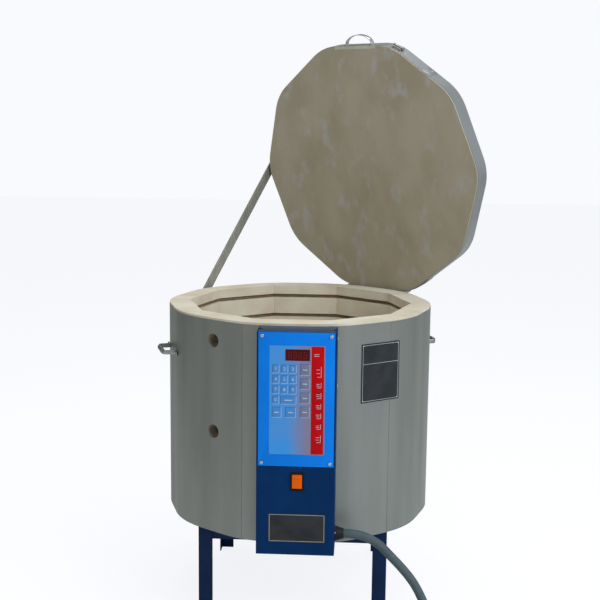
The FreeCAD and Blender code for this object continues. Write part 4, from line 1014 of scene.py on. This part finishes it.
@dataclass
class ControlPanel(SubAssembly):
    """Keypad, display window, screws and blank plate on the control box."""

    face: float = SIZES.panel_face - 0.0006
    key_proud: float = 0.0007
    digit_size: float = 0.0115
    screw_radius: float = 0.004
    columns: tuple[tuple[float, float], ...] = (
        (-0.0413, -0.0251), (-0.0198, -0.0034), (0.0012, 0.0176))
    levels: tuple[tuple[float, float], ...] = (
        (0.7238, 0.7436), (0.6976, 0.7174), (0.6714, 0.6912))
    low_keys: tuple[tuple[str, float, float, float, float], ...] = (
        ("0", -0.0413, -0.0251, 0.6452, 0.6650), ("", -0.0204, 0.0176, 0.6452, 0.6650),
        ("", -0.0413, -0.0193, 0.6110, 0.6368), ("", -0.0083, 0.0167, 0.6110, 0.6368))
    side_keys: tuple[tuple[float, float], ...] = (
        (0.7188, 0.7460), (0.6835, 0.7102), (0.6473, 0.6742), (0.6117, 0.6387))
    side_key_edges: tuple[float, float] = (0.0278, 0.0508)
    strip_edges: tuple[float, float] = (0.0545, 0.0865)
    strip_marks: tuple[tuple[float, float], ...] = (
        (0.7150, 0.7410), (0.6880, 0.7010), (0.6610, 0.6750), (0.6350, 0.6470),
        (0.6100, 0.6230), (0.5830, 0.5950), (0.5490, 0.5670))
    pad_edges: tuple[float, float] = (0.5165, 0.7925)
    window_middle: tuple[float, float] = (0.0205, 0.7690)

    def on_face(self, x: float, z: float, out: float) -> Matrix:
        """Place of a figure on the panel, with its own Z out of the panel."""
        return (Matrix.Translation((x, self.face - out, z))
                @ Matrix.Rotation(math.radians(90), 4, "X"))

    def key(self, name: str, low_x: float, high_x: float, low_z: float, high_z: float) -> Piece:
        """Emboss one key: a low plateau with a sloping edge.

        Args:
            name: Name of the piece.
            low_x: Its left edge.
            high_x: Its right edge.
            low_z: Its lower edge.
            high_z: Its upper edge.

        Returns:
            The key.
        """
        out = self.key_proud / 2
        piece = Bench.block(name, ((low_x + high_x) / 2, self.face - out / 2 + 0.0001,
                                   (low_z + high_z) / 2),
                            (high_x - low_x, out, high_z - low_z))
        Bench.faces(piece, Bench.front,
                    lambda: bpy.ops.mesh.inset(thickness=0.0009, depth=out))
        return Bench.soften(piece, 0.0004)

    def bar(self, x: float, z: float, wide: float, high: float, proud: float = 0.0007) -> Piece:
        """Add a thin bar to the panel's face, as print or as a painted edge shade or highlight."""
        return Bench.block("bar", (x, self.face, z), (wide, proud, high))

    def build_keys(self) -> None:
        """Make the keys, their painted edge shadows and painted edge highlights, and the figures on
        them.
        """
        rows = [(str(len(self.columns) * row + column + 1), *across, *up)
                for row, up in enumerate(self.levels) for column, across in enumerate(self.columns)]
        rows += self.low_keys
        blue_count = len(rows)
        rows += [("", *self.side_key_edges, *up) for up in self.side_keys]
        blue, grey, shades, glints, marks = [], [], [], [], []
        edge = 0.0012
        for index, (label, low_x, high_x, low_z, high_z) in enumerate(rows):
            key = self.key(f"key_{index}", low_x, high_x, low_z, high_z)
            (grey if index >= blue_count else blue).append(key)
            middle_x, middle_z = (low_x + high_x) / 2, (low_z + high_z) / 2
            wide, high = high_x - low_x, high_z - low_z
            # Painted shade along each key's top and left edges, painted highlight along its bottom
            # and right edges.
            shades += [self.bar(middle_x - edge / 2, high_z, wide, edge, 0.0006),
                       self.bar(low_x, middle_z, edge, high, 0.0006)]
            glints += [self.bar(middle_x, low_z, wide, edge),
                       self.bar(high_x, middle_z, edge, high)]
            if label:
                marks.append(Bench.words(f"figure_{label}", label, self.digit_size, 0.0001,
                                         self.on_face(middle_x, middle_z, self.key_proud)))
            else:
                marks.append(Bench.block("key_bar", (middle_x, self.face - self.key_proud,
                                                     middle_z), (wide * 0.5, 0.0002, 0.0022)))
        self.add(Bench.join("keypad_keys", blue), "Blue key")
        self.add(Bench.join("keypad_side_keys", grey), "Grey key")
        self.add(Bench.join("keypad_key_shadows", shades), "Key edge painted shade")
        self.add(Bench.join("keypad_key_glints", glints), "Pale print and painted glint")
        self.add(Bench.join("keypad_figures", marks), "Pale print and painted glint")

    def build_strip(self) -> None:
        """Make the red strip with its column of plain bracket marks."""
        low_x, high_x = self.strip_edges
        low_z, high_z = self.pad_edges
        strip = Bench.block("keypad_strip", ((low_x + high_x) / 2, self.face, (low_z + high_z) / 2),
                            (high_x - low_x - 0.001, 0.0003, high_z - low_z - 0.003))
        self.add(Bench.soften(strip, 0.0001), "Red print")
        lines = []
        thin = 0.0009
        x = high_x - 0.0075
        for foot, top in self.strip_marks:
            lines += [self.bar(x, (foot + top) / 2, thin, top - foot),
                      self.bar(x - 0.005, foot, 0.010, thin)]
            lines += [self.bar(x - 0.0075, foot + (top - foot) * level, 0.0085, thin)
                      for level in (0.35, 0.7)]
        lines += [self.bar((low_x + high_x) / 2 - 0.003, level, 0.013, thin)
                  for level in (0.7672, 0.7716)]
        self.add(Bench.join("keypad_marks", lines), "Pale print and painted glint")

    def build_display(self) -> None:
        """Make four unlit figures behind the display window."""
        x, z = self.window_middle
        y = SIZES.panel_face - 0.0001
        bars = []
        high, wide, thin, deep = 0.0075, 0.0065, 0.0012, 0.0003
        for digit in range(4):
            left = x + (digit - 1.5) * 0.0125
            bars += [Bench.block("segment", (left, y, z + level * high),
                                 (wide - thin, deep, thin)) for level in (-1, 0, 1)]
            bars += [Bench.block("segment", (left + side * wide / 2, y, z + level * high),
                                 (thin, deep, high - thin))
                     for side in (-1, 1) for level in (-0.5, 0.5)]
        self.add(Bench.join("display_segments", bars), "Unlit segment")

    def screw(self, name: str, radius: float, proud: float) -> Piece:
        """Model a pan-head screw with a cross recess, facing -Y at the origin.

        Args:
            name: Name of the piece.
            radius: Radius of its head.
            proud: Height of its head.

        Returns:
            The screw.
        """
        head = Bench.rod(name, radius, proud, (0, -proud / 2, 0), (0, -1, 0), 24)
        Bench.faces(head, Bench.front,
                    lambda: bpy.ops.mesh.inset(thickness=radius * 0.25, depth=proud * 0.25))
        cutters = [Bench.block("recess_a", (0, -proud * 1.2, 0),
                               (radius * 1.0, proud * 1.1, radius * 0.24)),
                   Bench.block("recess_b", (0, -proud * 1.2, 0),
                               (radius * 0.24, proud * 1.1, radius * 1.0))]
        for cutter in cutters:
            Bench.modify(head, "BOOLEAN", operation="DIFFERENCE", object=cutter, solver="EXACT")
            bpy.data.objects.remove(cutter)
        return Bench.smooth(head, 40)

    def build_screws(self) -> None:
        """Put the four panel screws in the corners of the plate."""
        model = self.screw("panel_screw", self.screw_radius, 0.0028)
        low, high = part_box("panel_screws")
        radius = self.screw_radius
        places = [Matrix.Translation((x, SIZES.panel_face, z))
                  @ Matrix.Rotation(math.radians(27 + 800 * (x + z)), 4, "Y")
                  for x in (low.x + radius, high.x - radius)
                  for z in (low.z + radius, high.z - radius)]
        screws = Bench.repeat("panel_screw_heads", model, places)
        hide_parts("panel_screws")
        self.add(screws, "Bright plated steel")

    def build_plate(self) -> None:
        """Put a pale printed edge round the blank plate low on the box."""
        low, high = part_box("lower_plate")
        margin = 0.006
        bars = Bench.outline(((low.x + high.x) / 2, low.y, (low.z + high.z) / 2),
                             high.x - low.x - margin, high.z - low.z - margin)
        self.add(Bench.join("lower_plate_edge", bars), "Pale plate edge")

    def build(self) -> None:
        """Build the panel's pieces."""
        self.refine("control_box_cover", "Dark blue enamel", 0.0006)
        self.refine("control_panel_plate", "Bright blue enamel", 0.0004)
        self.build_keys()
        self.build_strip()
        self.build_display()
        self.build_screws()
        self.build_plate()


@dataclass
class PowerSwitch(SubAssembly):
    """Rocker and bezel of the power switch."""

    body: str = "rocker"

    def build(self) -> None:
        """Round the rocker and its bezel."""
        self.refine("power_rocker", "Orange rocker", 0.0009, 3)
        self.refine("switch_bezel", "Black moulding", 0.0007, 2)


@dataclass
class JacketFittings(SubAssembly):
    """Handles, sheet laps in painted shade, peephole linings in painted shade, a top flange in
    painted sheen, box screws and the blank side plate.
    """

    grip_y: float = -0.3942
    grip_z: float = 0.710
    grip_length: float = 0.060
    grip_wide: float = 0.0150
    grip_thin: float = 0.0118
    grip_pitch: float = 0.0026
    strap_share: float = 0.55
    strap_screws: tuple[float, float] = (-0.063, 0.063)
    peepholes: tuple[tuple[str, float], ...] = (("upper", 0.7712), ("lower", 0.5287))
    top_screws: tuple[float, float] = (-0.0755, 0.1115)
    side_screws: tuple[float, float] = (-0.0822, 0.1182)
    side_screw_levels: tuple[float, ...] = (0.3050, 0.6870, 0.8060)
    plate_size: tuple[float, float] = (0.121, 0.155)
    plate_middle: tuple[float, float] = (0.017, 0.6955)

    def grip(self, side: str, azimuth: float) -> None:
        """Wind the flattened coil that is the grip of a handle, one turn copied many times.

        Args:
            side: Which handle.
            azimuth: Its face of the jacket, in degrees.
        """
        bpy.ops.mesh.primitive_cylinder_add(vertices=24, radius=0.5, depth=0.0025,
                                            location=(0, self.grip_y, self.grip_z),
                                            rotation=(0, math.radians(90), 0))
        turn = bpy.context.object
        turn.scale = (self.grip_wide, self.grip_thin, 1)
        Bench.soften(Bench.settle(turn), 0.0009, 2)
        count = int(self.grip_length / self.grip_pitch)
        places = [Matrix.Translation(((index - (count - 1) / 2) * self.grip_pitch, 0, 0))
                  for index in range(count)]
        piece = Bench.settle(Bench.repeat(side + "_grip_shape", turn, places), turn_z(azimuth))
        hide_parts(side + "_handle_grip")
        self.add(piece, "Zinc-plated steel")
        strap = self.refine(side + "_handle_strap", "Zinc-plated steel", 0.0005)
        Bench.faces(strap, Bench.every,
                    lambda: bpy.ops.transform.resize(value=(1, 1, self.strap_share),
                                                     center_override=(0, 0, self.grip_z)))
        heads = [Bench.dome("handle_screw", 0.0045, turn_z(azimuth) @ Matrix.Translation(
            (x, -SIZES.apothem - 0.0045, self.grip_z))) for x in self.strap_screws]
        self.add(Bench.join(side + "_handle_screws", heads), "Bright plated steel")

    def lap(self, side: str, azimuth: float) -> None:
        """Mark where the jacket's sheet laps itself, by a thin standing edge in painted seam shade.

        Args:
            side: Which lap.
            azimuth: Direction of the lap from the kiln's axis, in degrees.
        """
        high = SIZES.jacket_top - SIZES.stand - 0.004
        edge = Bench.block(side + "_jacket_lap", (0, 0, SIZES.stand + 0.002 + high / 2),
                           (0.0011, 0.0005, high))
        Bench.soften(edge, 0.0001)
        Bench.settle(edge, SIZES.edge_place(SIZES.apothem, SIZES.corner_radius, azimuth))
        self.add(edge, "Painted seam shade")

    def line_peepholes(self) -> None:
        """Darken the bores of the two peepholes with a thin lining in painted shade."""
        for name, level in self.peepholes:
            bpy.ops.mesh.primitive_cylinder_add(
                vertices=48, radius=0.0179, depth=0.0630, end_fill_type="NOTHING",
                location=(0.006, -0.3288, level), rotation=(math.radians(90), 0, 0))
            lining = Bench.settle(bpy.context.object)
            lining.name = name + "_peephole_shade_lining"
            Bench.modify(lining, "SOLIDIFY", thickness=0.0004, offset=-1)
            Bench.smooth(lining)
            Bench.settle(lining, turn_z(-36))
            self.add(lining, "Bore brick in painted shade")

    def build_box_screws(self) -> None:
        """Lay the control box's top flange in painted sheen, and put dark screws on its top and
        bright ones on its sides.
        """
        low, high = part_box("control_box_cover")
        # The top flange is coloured lighter than the box, as painted sheen on the top.
        flange = Bench.block("box_top_flange",
                             ((low.x + high.x) / 2, (low.y + high.y) / 2, high.z + 0.0002),
                             (high.x - low.x - 0.008, high.y - low.y - 0.008, 0.0004))
        self.add(Bench.soften(flange, 0.0001), "Blue enamel with painted sheen")
        top = Bench.rod("box_top_screw", 0.0046, 0.0018, (0, 0, 0), (0, 0, 1), 24)
        Bench.soften(top, 0.0006)
        places = [Matrix.Translation((x, -0.4080, SIZES.jacket_top + 0.0009))
                  for x in self.top_screws]
        self.add(Bench.repeat("box_top_screws", top, places), "Navy enamel")
        side = Bench.rod("box_side_screw", 0.0038, 0.0026, (0, 0, 0), (1, 0, 0), 24)
        Bench.soften(side, 0.0008)
        places = [Matrix.Translation((x, -0.4180, z))
                  for x in self.side_screws for z in self.side_screw_levels]
        self.add(Bench.repeat("box_side_screws", side, places), "Bright plated steel")

    def build_plate(self) -> None:
        """Add the pale printed edge and the divider line of the blank side plate."""
        (wide, high), (x, z) = self.plate_size, self.plate_middle
        y = -SIZES.apothem - 0.0011
        margin = 0.008
        bars = [*Bench.outline((x, y, z), wide - margin, high - margin),
                Bench.block("divider", (x, y, z + 0.0245), (wide - margin, 0.0002, 0.0012))]
        edge = Bench.settle(Bench.join("side_plate_edge", bars), turn_z(36))
        self.add(edge, "Pale plate edge")
        rivets = []
        for side in (-1, 1):
            for up in (-1, 1):
                place = (x + side * (wide / 2 - 0.005), y + 0.0012, z + up * (high / 2 - 0.005))
                bpy.ops.mesh.primitive_uv_sphere_add(segments=20, ring_count=10, radius=0.0025,
                                                     location=place)
                rivets.append(Bench.settle(bpy.context.object))
        heads = Bench.settle(Bench.smooth(Bench.join("side_plate_rivet_heads", rivets)),
                             turn_z(36))
        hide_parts("side_plate_rivets")
        self.add(heads, "Bright plated steel")

    def build(self) -> None:
        """Build the fittings."""
        self.grip("left", -72)
        self.grip("right", 108)
        self.lap("left", -20.4)
        self.lap("right", 43.8)
        self.line_peepholes()
        self.build_box_screws()
        self.build_plate()


@dataclass
class LidFittings(SubAssembly):
    """The lid's band lap, clamp, handle, front lip, hinge screws and stay."""

    body: str = "lid"
    rounding: float = 0.140
    bow_reach: float = 0.0460
    bow_height: float = 0.0282
    lap_shift: float = 0.020
    lap_sheet: float = 0.0006
    clamp_corner: float = 20.6
    bolt_y: float = -0.0046
    lid_screws: tuple[float, ...] = (-0.07, -0.035, 0.0, 0.035, 0.07)
    body_screws: tuple[float, ...] = (-0.045, -0.015, 0.015, 0.045)

    def build_band(self) -> None:
        """Lap the band's two ends on the face 36 degrees from the handle's."""
        middle = SIZES.lid_middle
        lap = Bench.block("lid_band_lap",
                          (self.lap_shift, -SIZES.lid_apothem - self.lap_sheet / 2, middle),
                          (0.030, self.lap_sheet, 0.0448))
        Bench.soften(lap, 0.0002)
        heads = [Bench.dome("lap_rivet", 0.0024, Matrix.Translation(
            (self.lap_shift, -SIZES.lid_apothem - self.lap_sheet, middle + level)))
            for level in (-0.014, 0.014)]
        for piece in (lap, *heads):
            Bench.settle(piece, SIZES.lid_place @ turn_z(36))
        self.add(lap, "Band sheet in painted light")
        self.add(Bench.join("lid_band_lap_rivets", heads), "Bright plated steel")

    def build_clamp(self) -> None:
        """Model the low screw clamp that tightens the band beside a corner of the lid."""
        middle = SIZES.lid_middle
        pieces = [Bench.block("lid_clamp", (0, -0.0010, middle), (0.030, 0.0020, 0.0240))]
        for level in (-0.0095, 0.0095):
            ridge = Bench.block("clamp_ridge", (0, -0.0030, middle + level),
                                (0.027, 0.0030, 0.0030))
            Bench.faces(ridge, Bench.front,
                        lambda: bpy.ops.mesh.inset(thickness=0.0006, depth=0.0006))
            pieces.append(ridge)
        pieces = [Bench.soften(piece, 0.0004) for piece in pieces]
        pieces.append(Bench.smooth(Bench.rod("clamp_bolt", 0.0033, 0.034, (0, self.bolt_y, middle),
                                             (1, 0, 0), 20)))
        for name, x in (("clamp_bolt_head", 0.0165), ("clamp_nut", -0.0150)):
            end = Bench.rod(name, 0.0048, 0.0042, (x, self.bolt_y, middle), (1, 0, 0), 6)
            pieces.append(Bench.soften(end, 0.0005))
        clamp = Bench.join("lid_clamp", pieces)
        Bench.settle(clamp, SIZES.lid_place
                     @ SIZES.edge_place(SIZES.lid_apothem, self.rounding, self.clamp_corner))
        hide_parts("lid_band_clamp")
        self.add(clamp, "Zinc-plated steel")

    def build_handle(self) -> None:
        """Spin the flat bow of the lid's handle and set it on its two feet."""
        middle = SIZES.lid_middle
        foot_y = -SIZES.lid_apothem
        bpy.ops.mesh.primitive_plane_add(size=1, location=(self.bow_reach, foot_y, middle),
                                         rotation=(math.radians(90), 0, 0))
        bow = bpy.context.object
        bow.name = "lid_handle_bow"
        bow.scale = (0.0028, 0.0140, 1)
        Bench.settle(bow)
        Bench.faces(bow, Bench.every,
                    lambda: bpy.ops.mesh.spin(steps=24, angle=math.pi, axis=(0, 0, 1),
                                              center=(0, foot_y, middle)),
                    lambda: bpy.ops.mesh.select_all(action="SELECT"),
                    lambda: bpy.ops.mesh.normals_make_consistent(inside=False))
        flat = Matrix.Diagonal((1, self.bow_height / self.bow_reach, 1, 1))
        Bench.settle(bow, Matrix.Translation((0, foot_y, 0)) @ flat
                     @ Matrix.Translation((0, -foot_y, 0)))
        pieces = [Bench.soften(bow, 0.0004)]
        for side in (-1, 1):
            foot = Bench.block("handle_foot", (side * 0.0455, foot_y - 0.0008, middle),
                               (0.0110, 0.0016, 0.0140))
            pieces.append(Bench.soften(foot, 0.0004))
        handle = Bench.settle(Bench.join("lid_handle_bow", pieces), SIZES.lid_place)
        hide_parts("lid_handle")
        self.add(handle, "Polished rod")

    def build_guard(self) -> None:
        """Lay the thin metal lip that guards the brick under the lid's front edge."""
        lip = Bench.block("lid_front_lip", (0, -SIZES.lid_apothem + 0.0043,
                                            SIZES.lid_low - 0.000125),
                          (0.146, 0.0086, 0.00025))
        self.add(Bench.settle(lip, SIZES.lid_place), "Pale sheet lip")

    def build_hinge_screws(self) -> None:
        """Put the hinge's screw heads on both leaves."""
        lid_heads = []
        for x in self.lid_screws:
            place = (SIZES.lid_place @ Matrix.Translation((x, SIZES.lid_apothem + 0.0022,
                                                           SIZES.lid_low + 0.0330))
                     @ turn_z(180))
            lid_heads.append(Bench.dome("leaf_screw", 0.0035, place))
        self.add(Bench.join("lid_leaf_screws", lid_heads), "Bright plated steel")
        body_heads = []
        for x in self.body_screws:
            place = (turn_z(SIZES.lid_turn) @ Matrix.Translation(
                (x, SIZES.apothem + 0.0022, SIZES.hinge_z - 0.0360)) @ turn_z(180))
            body_heads.append(Bench.dome("body_screw", 0.0035, place))
        self.add(Bench.join("body_leaf_screws", body_heads), "Bright plated steel", "root")

    def build(self) -> None:
        """Build the lid's fittings."""
        self.book.dress(self.node("lid_slab"), "Lid brick")
        # The band wears the lighter copy of the stainless, as painted light.
        self.book.dress(self.node("lid_band"), "Band sheet in painted light")
        self.build_band()
        self.build_hinge_screws()
        self.build_clamp()
        self.build_handle()
        self.build_guard()
        # The stay bracket is darkened as painted shade.
        self.refine("stay_bracket", "Strap steel in painted shade", 0.0004)
        self.refine("stay_bar", "Plain steel bar", 0.0005)
        self.refine("stay_guide", "Zinc-plated steel", 0.0005)
        self.refine("stay_pivot_screw", "Bright plated steel", 0.0006)


@dataclass
class Stand(SubAssembly):
    """Angle-iron legs and frame with weld beads."""

    half: float = 0.254
    sheet: float = 0.0032
    leg: float = 0.038
    bead: float = 0.0022

    def build(self) -> None:
        """Round the angle iron and lay a weld bead where each leg meets the frame."""
        for corner in ("front_left", "front_right", "rear_left", "rear_right"):
            self.refine("stand_leg_" + corner, "Navy enamel", 0.0006)
        self.refine("stand_frame", "Navy enamel", 0.0006)
        beads = []
        for side in (-1, 1):
            for depth in (-1, 1):
                for along_x in (True, False):
                    long = self.leg * 0.8
                    middle = Vector((side * (self.half - self.leg / 2),
                                     depth * (self.half - 0.0004), SIZES.stand - self.sheet))
                    size = Vector((long, self.bead, self.bead))
                    if not along_x:
                        middle.x, middle.y = (side * (self.half - 0.0004),
                                              depth * (self.half - self.leg / 2))
                        size.x, size.y = self.bead, long
                    piece = Bench.block("bead", middle, size)
                    beads.append(Bench.soften(piece, self.bead * 0.4, 3))
        self.add(Bench.join("stand_weld_beads", beads), "Navy enamel")


@dataclass
class PowerCord(SubAssembly):
    """Cord from the control box down to its coil on the floor, with the plug."""

    diameter: float = 0.023
    coil_centre: tuple[float, float] = (0.2561, -0.6084)
    coil_radius: float = 0.126
    turns: int = 12
    low_level: float = 0.0115
    top_level: float = 0.0345
    route: tuple[tuple[float, float, float], ...] = (
        (0.140, -0.4034, 0.299), (0.160, -0.4034, 0.299), (0.193, -0.4034, 0.2933),
        (0.230, -0.4044, 0.2745), (0.259, -0.4064, 0.2449), (0.290, -0.4094, 0.2138),
        (0.320, -0.4134, 0.1785), (0.343, -0.4184, 0.1363), (0.361, -0.4424, 0.0987),
        (0.370, -0.4844, 0.0655), (0.384, -0.5420, 0.0345), (0.382, -0.6120, 0.0345))
    leave: float = 490.0
    sink_from: float = 135.0
    sink_over: float = 80.0
    plug_lead: float = 0.086
    ribs: int = 5
    rib_wide: float = 0.0188
    rib_thin: float = 0.0142
    rib_start: float = 0.0158
    rib_run: float = 0.0145

    @property
    def first(self) -> float:
        """Direction from the coil's centre to the end of the route."""
        return math.atan2(self.route[-1][1] - self.coil_centre[1],
                          self.route[-1][0] - self.coil_centre[0])

    def about_coil(self, reach: float, angle: float, level: float) -> Vector:
        """A point at a distance and in a direction from the coil's centre."""
        return Vector((self.coil_centre[0] + reach * math.cos(angle),
                       self.coil_centre[1] + reach * math.sin(angle), level))

    def coil_points(self) -> list[Vector]:
        """Control points of the coil, a top half turn and then a turn on the floor.

        Returns:
            The points, ending where the cord meets its plug.
        """
        step = math.tau / self.turns
        reach = self.coil_radius / math.cos(step / 2)
        points = []
        count = int(math.radians(self.leave) / step)
        for index in range(count):
            angle = self.first - step * (index + 0.5)
            turned = math.degrees(self.first - angle)
            drop = min(1.0, max(0.0, (turned - self.sink_from) / self.sink_over))
            level = self.top_level + (self.low_level - self.top_level) * drop
            points.append(self.about_coil(reach, angle, level))
        return points

    def build(self) -> None:
        away = self.first - math.radians(self.leave)
        tangent = Vector((math.sin(away), -math.cos(away), 0))
        out = self.about_coil(self.coil_radius, away, self.low_level)
        points = [Vector(point) for point in self.route] + self.coil_points()
        points += [out, out + tangent * self.plug_lead]
        cord = Bench.line("cord_flex", "NURBS", points, self.diameter / 2, 6)
        spline = cord.data.splines[0]
        spline.order_u = 3
        spline.use_endpoint_u = True
        spline.resolution_u = 12
        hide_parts("power_cord", "cord_coil")
        self.add(cord, "Grey cord jacket")
        plug = self.refine("cord_plug", "Moulded plug", 0.0012, 3)
        self.build_gland()

    def build_gland(self) -> None:
        """Rib the tapered strain relief where the cord leaves the box."""
        low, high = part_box("cord_gland")
        centre = (0, (low.y + high.y) / 2, (low.z + high.z) / 2)
        pieces = [Bench.refined(self.node("cord_gland"), "cord_gland_shape", 0.0008)]
        for index in range(self.ribs):
            share = index / (self.ribs - 1)
            rib = Bench.rod("gland_rib", self.rib_wide + (self.rib_thin - self.rib_wide) * share,
                            0.0020, centre, (1, 0, 0), 40)
            Bench.soften(rib, 0.0006)
            place = high.x - self.rib_start + self.rib_run * share
            pieces.append(Bench.settle(rib, Matrix.Translation((place, 0, 0))))
        self.add(Bench.join("cord_gland_shape", pieces), "Moulded plug")


@dataclass
class Studio:
    """Floor, backdrop, lamps and the camera at the photograph's place."""

    camera_place: tuple[float, float, float] = (0.1802, -3.2549, 1.3570)
    heading: float = 0.0553
    pitch: float = -0.1589
    roll: float = 0.0106
    lens: float = 70.14
    backdrop: Rgb = srgb(249, 250, 254)
    lamp_colour: Rgb = (0.96, 0.98, 1.0)
    warm_tint: Rgb = srgb(246, 243, 212)
    cool_tint: Rgb = srgb(224, 238, 255)
    floor_colour: Rgb = (0.86, 0.87, 0.88)
    aim: tuple[float, float, float] = (0.0, 0.0, 0.8)
    dim_and_bright: tuple[float, float] = (0.06, 0.84)
    glow_strength: float = 1.165
    glow_share: float = 0.76
    bright_side: tuple[float, float, float] = (1.0, -0.6, 0.0)
    lamps: tuple[tuple[str, tuple[float, float, float], float, float], ...] = (
        ("key", (3.0, -2.4, 2.9), 2.4, 74.0), ("fill", (-3.0, -3.0, 2.2), 2.6, 12.0),
        ("top", (0.0, 0.2, 3.6), 2.6, 42.0))

    def build_camera(self) -> None:
        """Place the camera."""
        ahead = Vector((-math.sin(self.heading) * math.cos(self.pitch),
                        math.cos(self.heading) * math.cos(self.pitch), math.sin(self.pitch)))
        right = Vector((math.cos(self.heading), math.sin(self.heading), 0))
        up = right.cross(ahead)
        tilt_right = right * math.cos(self.roll) + up * math.sin(self.roll)
        tilt_up = up * math.cos(self.roll) - right * math.sin(self.roll)
        turn = Matrix((tilt_right, tilt_up, -ahead)).transposed().to_4x4()
        data = bpy.data.cameras.new("view")
        data.lens = self.lens
        data.sensor_width = 36.0
        data.clip_start = 0.05
        data.clip_end = 60.0
        camera = bpy.data.objects.new("view", data)
        camera.matrix_world = Matrix.Translation(self.camera_place) @ turn
        bpy.context.scene.collection.objects.link(camera)
        bpy.context.scene.camera = camera

    def build_lamps(self) -> None:
        """Hang the soft lamps, each aimed at the kiln."""
        for name, place, size, power in self.lamps:
            data = bpy.data.lights.new(name, "AREA")
            data.shape = "SQUARE"
            data.size = size
            data.energy = power
            data.color = self.lamp_colour
            lamp = bpy.data.objects.new(name, data)
            lamp.location = place
            aim = Vector(self.aim) - Vector(place)
            lamp.rotation_euler = aim.to_track_quat("-Z", "Y").to_euler()
            bpy.context.scene.collection.objects.link(lamp)

    def build_world(self) -> None:
        """Light from all round, stronger from the right, with the backdrop behind the kiln."""
        world = bpy.data.worlds.new("studio")
        bpy.context.scene.world = world
        world.use_nodes = True
        tree = world.node_tree
        tree.nodes.clear()
        output = tree.nodes.new("ShaderNodeOutputWorld")
        soft = tree.nodes.new("ShaderNodeBackground")
        ahead = tree.nodes.new("ShaderNodeVectorMath")
        ahead.operation = "DOT_PRODUCT"
        ahead.inputs[1].default_value = self.bright_side
        tree.links.new(tree.nodes.new("ShaderNodeTexCoord").outputs["Generated"],
                       ahead.inputs[0])
        level = FinishBook.ranged(tree, ahead.outputs["Value"], -1.2, 1.2, *self.dim_and_bright)
        tree.links.new(level, soft.inputs["Strength"])
        tint = FinishBook.mix(tree, level, (*self.warm_tint, 1.0), (*self.cool_tint, 1.0))
        tree.links.new(tint, soft.inputs["Color"])
        seen = tree.nodes.new("ShaderNodeBackground")
        seen.inputs["Color"].default_value = (*self.backdrop, 1.0)
        rays = tree.nodes.new("ShaderNodeLightPath")
        mixed = tree.nodes.new("ShaderNodeMixShader")
        tree.links.new(rays.outputs["Is Camera Ray"], mixed.inputs[0])
        tree.links.new(soft.outputs[0], mixed.inputs[1])
        tree.links.new(seen.outputs[0], mixed.inputs[2])
        tree.links.new(mixed.outputs[0], output.inputs["Surface"])

    def build_floor(self) -> None:
        """Lay the plain pale floor, which keeps the kiln's soft shadow."""
        bpy.ops.mesh.primitive_plane_add(size=30, location=(0, 0, 0))
        floor = bpy.context.object
        floor.name = "studio_floor"
        material = bpy.data.materials.new("Pale floor")
        material.use_nodes = True
        tree = material.node_tree
        shader = tree.nodes["Principled BSDF"]
        shader.inputs["Base Color"].default_value = (*self.floor_colour, 1.0)
        shader.inputs["Roughness"].default_value = 0.9
        glow = tree.nodes.new("ShaderNodeEmission")
        glow.inputs["Color"].default_value = (*self.backdrop, 1.0)
        glow.inputs["Strength"].default_value = self.glow_strength
        rays = tree.nodes.new("ShaderNodeLightPath")
        share = tree.nodes.new("ShaderNodeMath")
        share.operation = "MULTIPLY"
        share.inputs[1].default_value = self.glow_share
        mixed = tree.nodes.new("ShaderNodeMixShader")
        tree.links.new(rays.outputs["Is Camera Ray"], share.inputs[0])
        tree.links.new(share.outputs[0], mixed.inputs[0])
        tree.links.new(shader.outputs[0], mixed.inputs[1])
        tree.links.new(glow.outputs[0], mixed.inputs[2])
        tree.links.new(mixed.outputs[0], tree.nodes["Material Output"].inputs["Surface"])
        floor.data.materials.append(material)

    def build(self) -> None:
        """Build the studio."""
        bpy.context.scene.view_settings.view_transform = "Standard"
        self.build_camera()
        self.build_lamps()
        self.build_world()
        self.build_floor()


def main() -> None:
    """Load the frame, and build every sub-assembly."""
    logging.basicConfig(level=logging.INFO, format="%(name)s: %(message)s")
    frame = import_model()
    Studio().build()
    book = FinishBook()
    book.dress_nodes(frame)
    for assembly in (PowerCord, HeatingElements, ControlPanel, PowerSwitch, JacketFittings,
                     LidFittings, Stand):
        assembly(frame, book).build()


if __name__ == "__main__":
    main()
